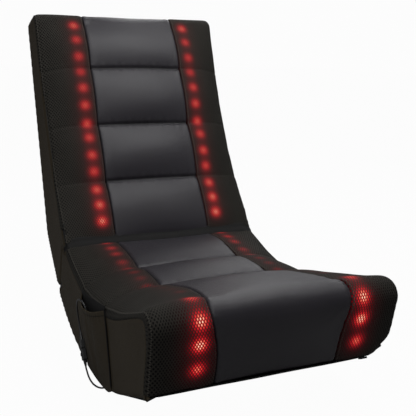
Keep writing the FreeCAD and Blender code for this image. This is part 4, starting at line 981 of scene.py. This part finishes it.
def pocket_shape(across, down):
    levels = np.array([on_line(row, across) for row in (MOUTH, HALF_WAY, FOOT, UNDER)])
    weights = []
    for k in range(4):
        bare = np.column_stack([np.array([0.0, 0.45, 0.90, 1.0]), np.eye(4)[k]])
        soft_line, _ = smooth_line(bare, 200)
        weights.append(np.interp(down, soft_line[:, 0], soft_line[:, 1]))
    places = sum(weight[:, None] * level for weight, level in zip(weights, levels))
    free = np.sin(across * math.pi) ** 0.6 * smoothstep(1 - down, 0.0, 0.25)
    length = down * POCKET_LENGTH
    fold = 0.0022 * np.exp(-((across - 0.44 - 0.05 * down) / 0.055) ** 2) * smoothstep(length, 0.006, 0.03)
    fold -= 0.0018 * np.exp(-((across - 0.33 - 0.03 * down) / 0.06) ** 2) * smoothstep(length, 0.006, 0.03)
    fold -= 0.0012 * np.exp(-((across - 0.66 + 0.10 * down) / 0.05) ** 2) * smoothstep(length, 0.010, 0.05)
    hem = 0.0006 * (1 - smoothstep(length, 0.0060, 0.0080))
    gathers = 0.0005 * np.sin(across * 95 + 2 * np.sin(across * 17)) * np.exp(-((length - 0.0095) / 0.006) ** 2)
    places[:, 0] -= (fold + gathers) * free + hem
    return places


def shade_sheet_shape(across, down):
    low = on_line(MOUTH, across)
    low[:, 0] = -0.2155
    low[:, 2] -= 0.012
    return on_line(SHADE_SHEET_TOP, across) * (1 - down)[:, None] + low * down[:, None]


pocket_cloth = Finish("pocket_cloth", {"Specular IOR Level": 0.06})
chart = pocket_cloth.node("ShaderNodeUVMap", {"uv_map": "UVMap"})
across = pocket_cloth.node("ShaderNodeSeparateXYZ", sockets={"Vector": chart}, out=0)
down = pocket_cloth.node("ShaderNodeSeparateXYZ", sockets={"Vector": chart}, out=1) * POCKET_LENGTH
cell = pocket_cloth.node("ShaderNodeTexVoronoi", {"feature": "DISTANCE_TO_EDGE"},
                         {"Vector": pocket_cloth.place(), "Scale": 700.0})
cloud = pocket_cloth.noise(pocket_cloth.place(), 30.0, 4.0)
row = 1.0 - abs(down - 0.0075).clear_of(0.0004, 0.0010)
thread = row * (across * 42.0).fraction().clear_of(0.2, 0.35)
# The boxing's cloth, coloured a little darker here than on the boxing as painted shade.
tone = pocket_cloth.blend((0.0300, 0.0240, 0.0155), (0.0410, 0.0330, 0.0220), cloud)
pocket_cloth.feed("Base Color", pocket_cloth.blend(tone, (0.004, 0.0035, 0.003), row * 0.8))
pocket_cloth.feed("Roughness", 0.55 + 0.15 * cloud)
pocket_cloth.relief(cell.clear_of(0.0, 0.25) * 0.4 + thread * 0.8 - row * 0.4 + 0.4, 0.0005, 0.6)
pocket = laid("side_pocket", (72, 64), 0.0013, pocket_shape)
cover(pocket, pocket_cloth, "seat", "boxing", "pocket_panel", "pocket_hem")
# A sheet of the black cloth behind the mouth: painted shade inside the pocket.
shade_sheet = laid("pocket_shade_sheet", (40, 14), 0.0005, shade_sheet_shape)
cover(shade_sheet, woven, "seat", "wrap_fabric")

# Pocket binding. Black tape folded over the front edge of the pocket and sewn down with it.
BINDING_LINE = [(-0.1262, 0.1605), (-0.1358, 0.1280), (-0.1465, 0.0920), (-0.1545, 0.0620), (-0.1605, 0.0360)]
tape = Finish("binding_tape", {"Specular IOR Level": 0.15})
rib = (tape.node("ShaderNodeSeparateXYZ", sockets={"Vector": tape.place()}, out=2) / 0.0009).wave()
fluff = tape.noise(tape.place(), 260.0, 3.0)
tape.feed("Base Color", tape.blend((0.0022, 0.0022, 0.0022), (0.0065, 0.0062, 0.0060), rib * 0.6 + fluff * 0.4))
tape.feed("Roughness", 0.7 + 0.2 * fluff)
tape.relief(rib, 0.0002, 0.6)


def binding_shape(across, down):
    middle = on_line(BINDING_LINE, down)
    side = (across - 0.5) * 2
    return np.column_stack([-0.2158 - 0.0016 * np.sqrt(np.maximum(1 - side ** 2, 0)),
                            middle[:, 0] + side * 0.0020, middle[:, 1] + side * 0.0006])


binding = laid("pocket_edge_binding", (8, 60), 0.0006, binding_shape)
cover(binding, tape, "seat", "binding", "pocket_binding")

# Cover zip. Under the front edge a coil zip closes the cover: woven tape with a nylon coil along its middle
# and a painted slider with its pull.
zip_cloth = Finish("zip_cloth", {"Specular IOR Level": 0.3})
here = zip_cloth.place()
beside = zip_cloth.node("ShaderNodeSeparateXYZ", sockets={"Vector": here}, out=0)
fore = zip_cloth.node("ShaderNodeSeparateXYZ", sockets={"Vector": here}, out=1)
coil = 1.0 - abs(fore + 0.319).clear_of(0.0022, 0.0028)
tooth = (beside / 0.0016).wave()
ribs = ((beside + fore) / 0.0011).wave()
zip_cloth.feed("Base Color", zip_cloth.blend(zip_cloth.blend((0.004, 0.004, 0.004), (0.011, 0.011, 0.011), ribs),
                                             (0.018, 0.018, 0.019), coil * tooth))
zip_cloth.feed("Roughness", 0.8 - 0.4 * coil)
zip_cloth.relief(coil * tooth + (1.0 - coil) * ribs * 0.3, 0.0006)
closure = copy_of("cover_closure", "cover_zip")
slice_up(closure, 0, 0.010)
places = corners_of(closure)
places[:, 2] += 0.0002 * np.sin(places[:, 0] * 47)
move_to(closure, places)
only(closure)
bpy.ops.object.shade_smooth_by_angle(angle=math.radians(35))
cover(closure, zip_cloth, "seat", "zip_fabric", "cover_zip")

painted = Finish("painted_metal", {"Metallic": 0.6})
wear = painted.noise(painted.place(), 240.0, 4.0)
painted.feed("Base Color", painted.blend((0.018, 0.018, 0.019), (0.10, 0.10, 0.10), wear.clear_of(0.6, 0.75)))
painted.feed("Roughness", 0.3 + 0.25 * wear)
painted.relief(wear, 0.0001, 0.5)
dress(painted, "zip_slider")

# Hand control and plug. Two moulded black shells with a fine spark texture and a glossier round button;
# the lead ends in a moulded grip with a plated steel shell.
moulded = Finish("moulded_plastic", {"Specular IOR Level": 0.4})
pits = moulded.node("ShaderNodeTexVoronoi", {"feature": "F1"}, {"Vector": moulded.place(), "Scale": 1600.0})
haze = moulded.noise(moulded.place(), 60.0, 3.0)
moulded.feed("Base Color", moulded.blend((0.008, 0.008, 0.0085), (0.013, 0.013, 0.0135), haze))
moulded.feed("Roughness", 0.42 + 0.14 * haze)
moulded.relief(pits, 0.00015, 0.5)
dress(moulded, "controller_case_front", "controller_case_back", "lead_connector", "plug_grip")
glossy = Finish("button_plastic", {"Specular IOR Level": 0.5})
haze = glossy.noise(glossy.place(), 120.0, 2.0)
glossy.feed("Base Color", glossy.blend((0.012, 0.012, 0.013), (0.022, 0.022, 0.024), haze))
glossy.feed("Roughness", 0.22 + 0.12 * haze)
glossy.relief(haze, 0.0001, 0.3)
dress(glossy, "controller_button")
plated = Finish("plug_steel", {"Metallic": 1.0})
rub = plated.noise(plated.place((60.0, 60.0, 900.0)), 2.0, 3.0)
plated.feed("Base Color", plated.blend((0.55, 0.55, 0.56), (0.7, 0.7, 0.71), rub))
plated.feed("Roughness", 0.2 + 0.15 * rub)
plated.relief(rub, 0.0001, 0.4)
dress(plated, "plug_shell")
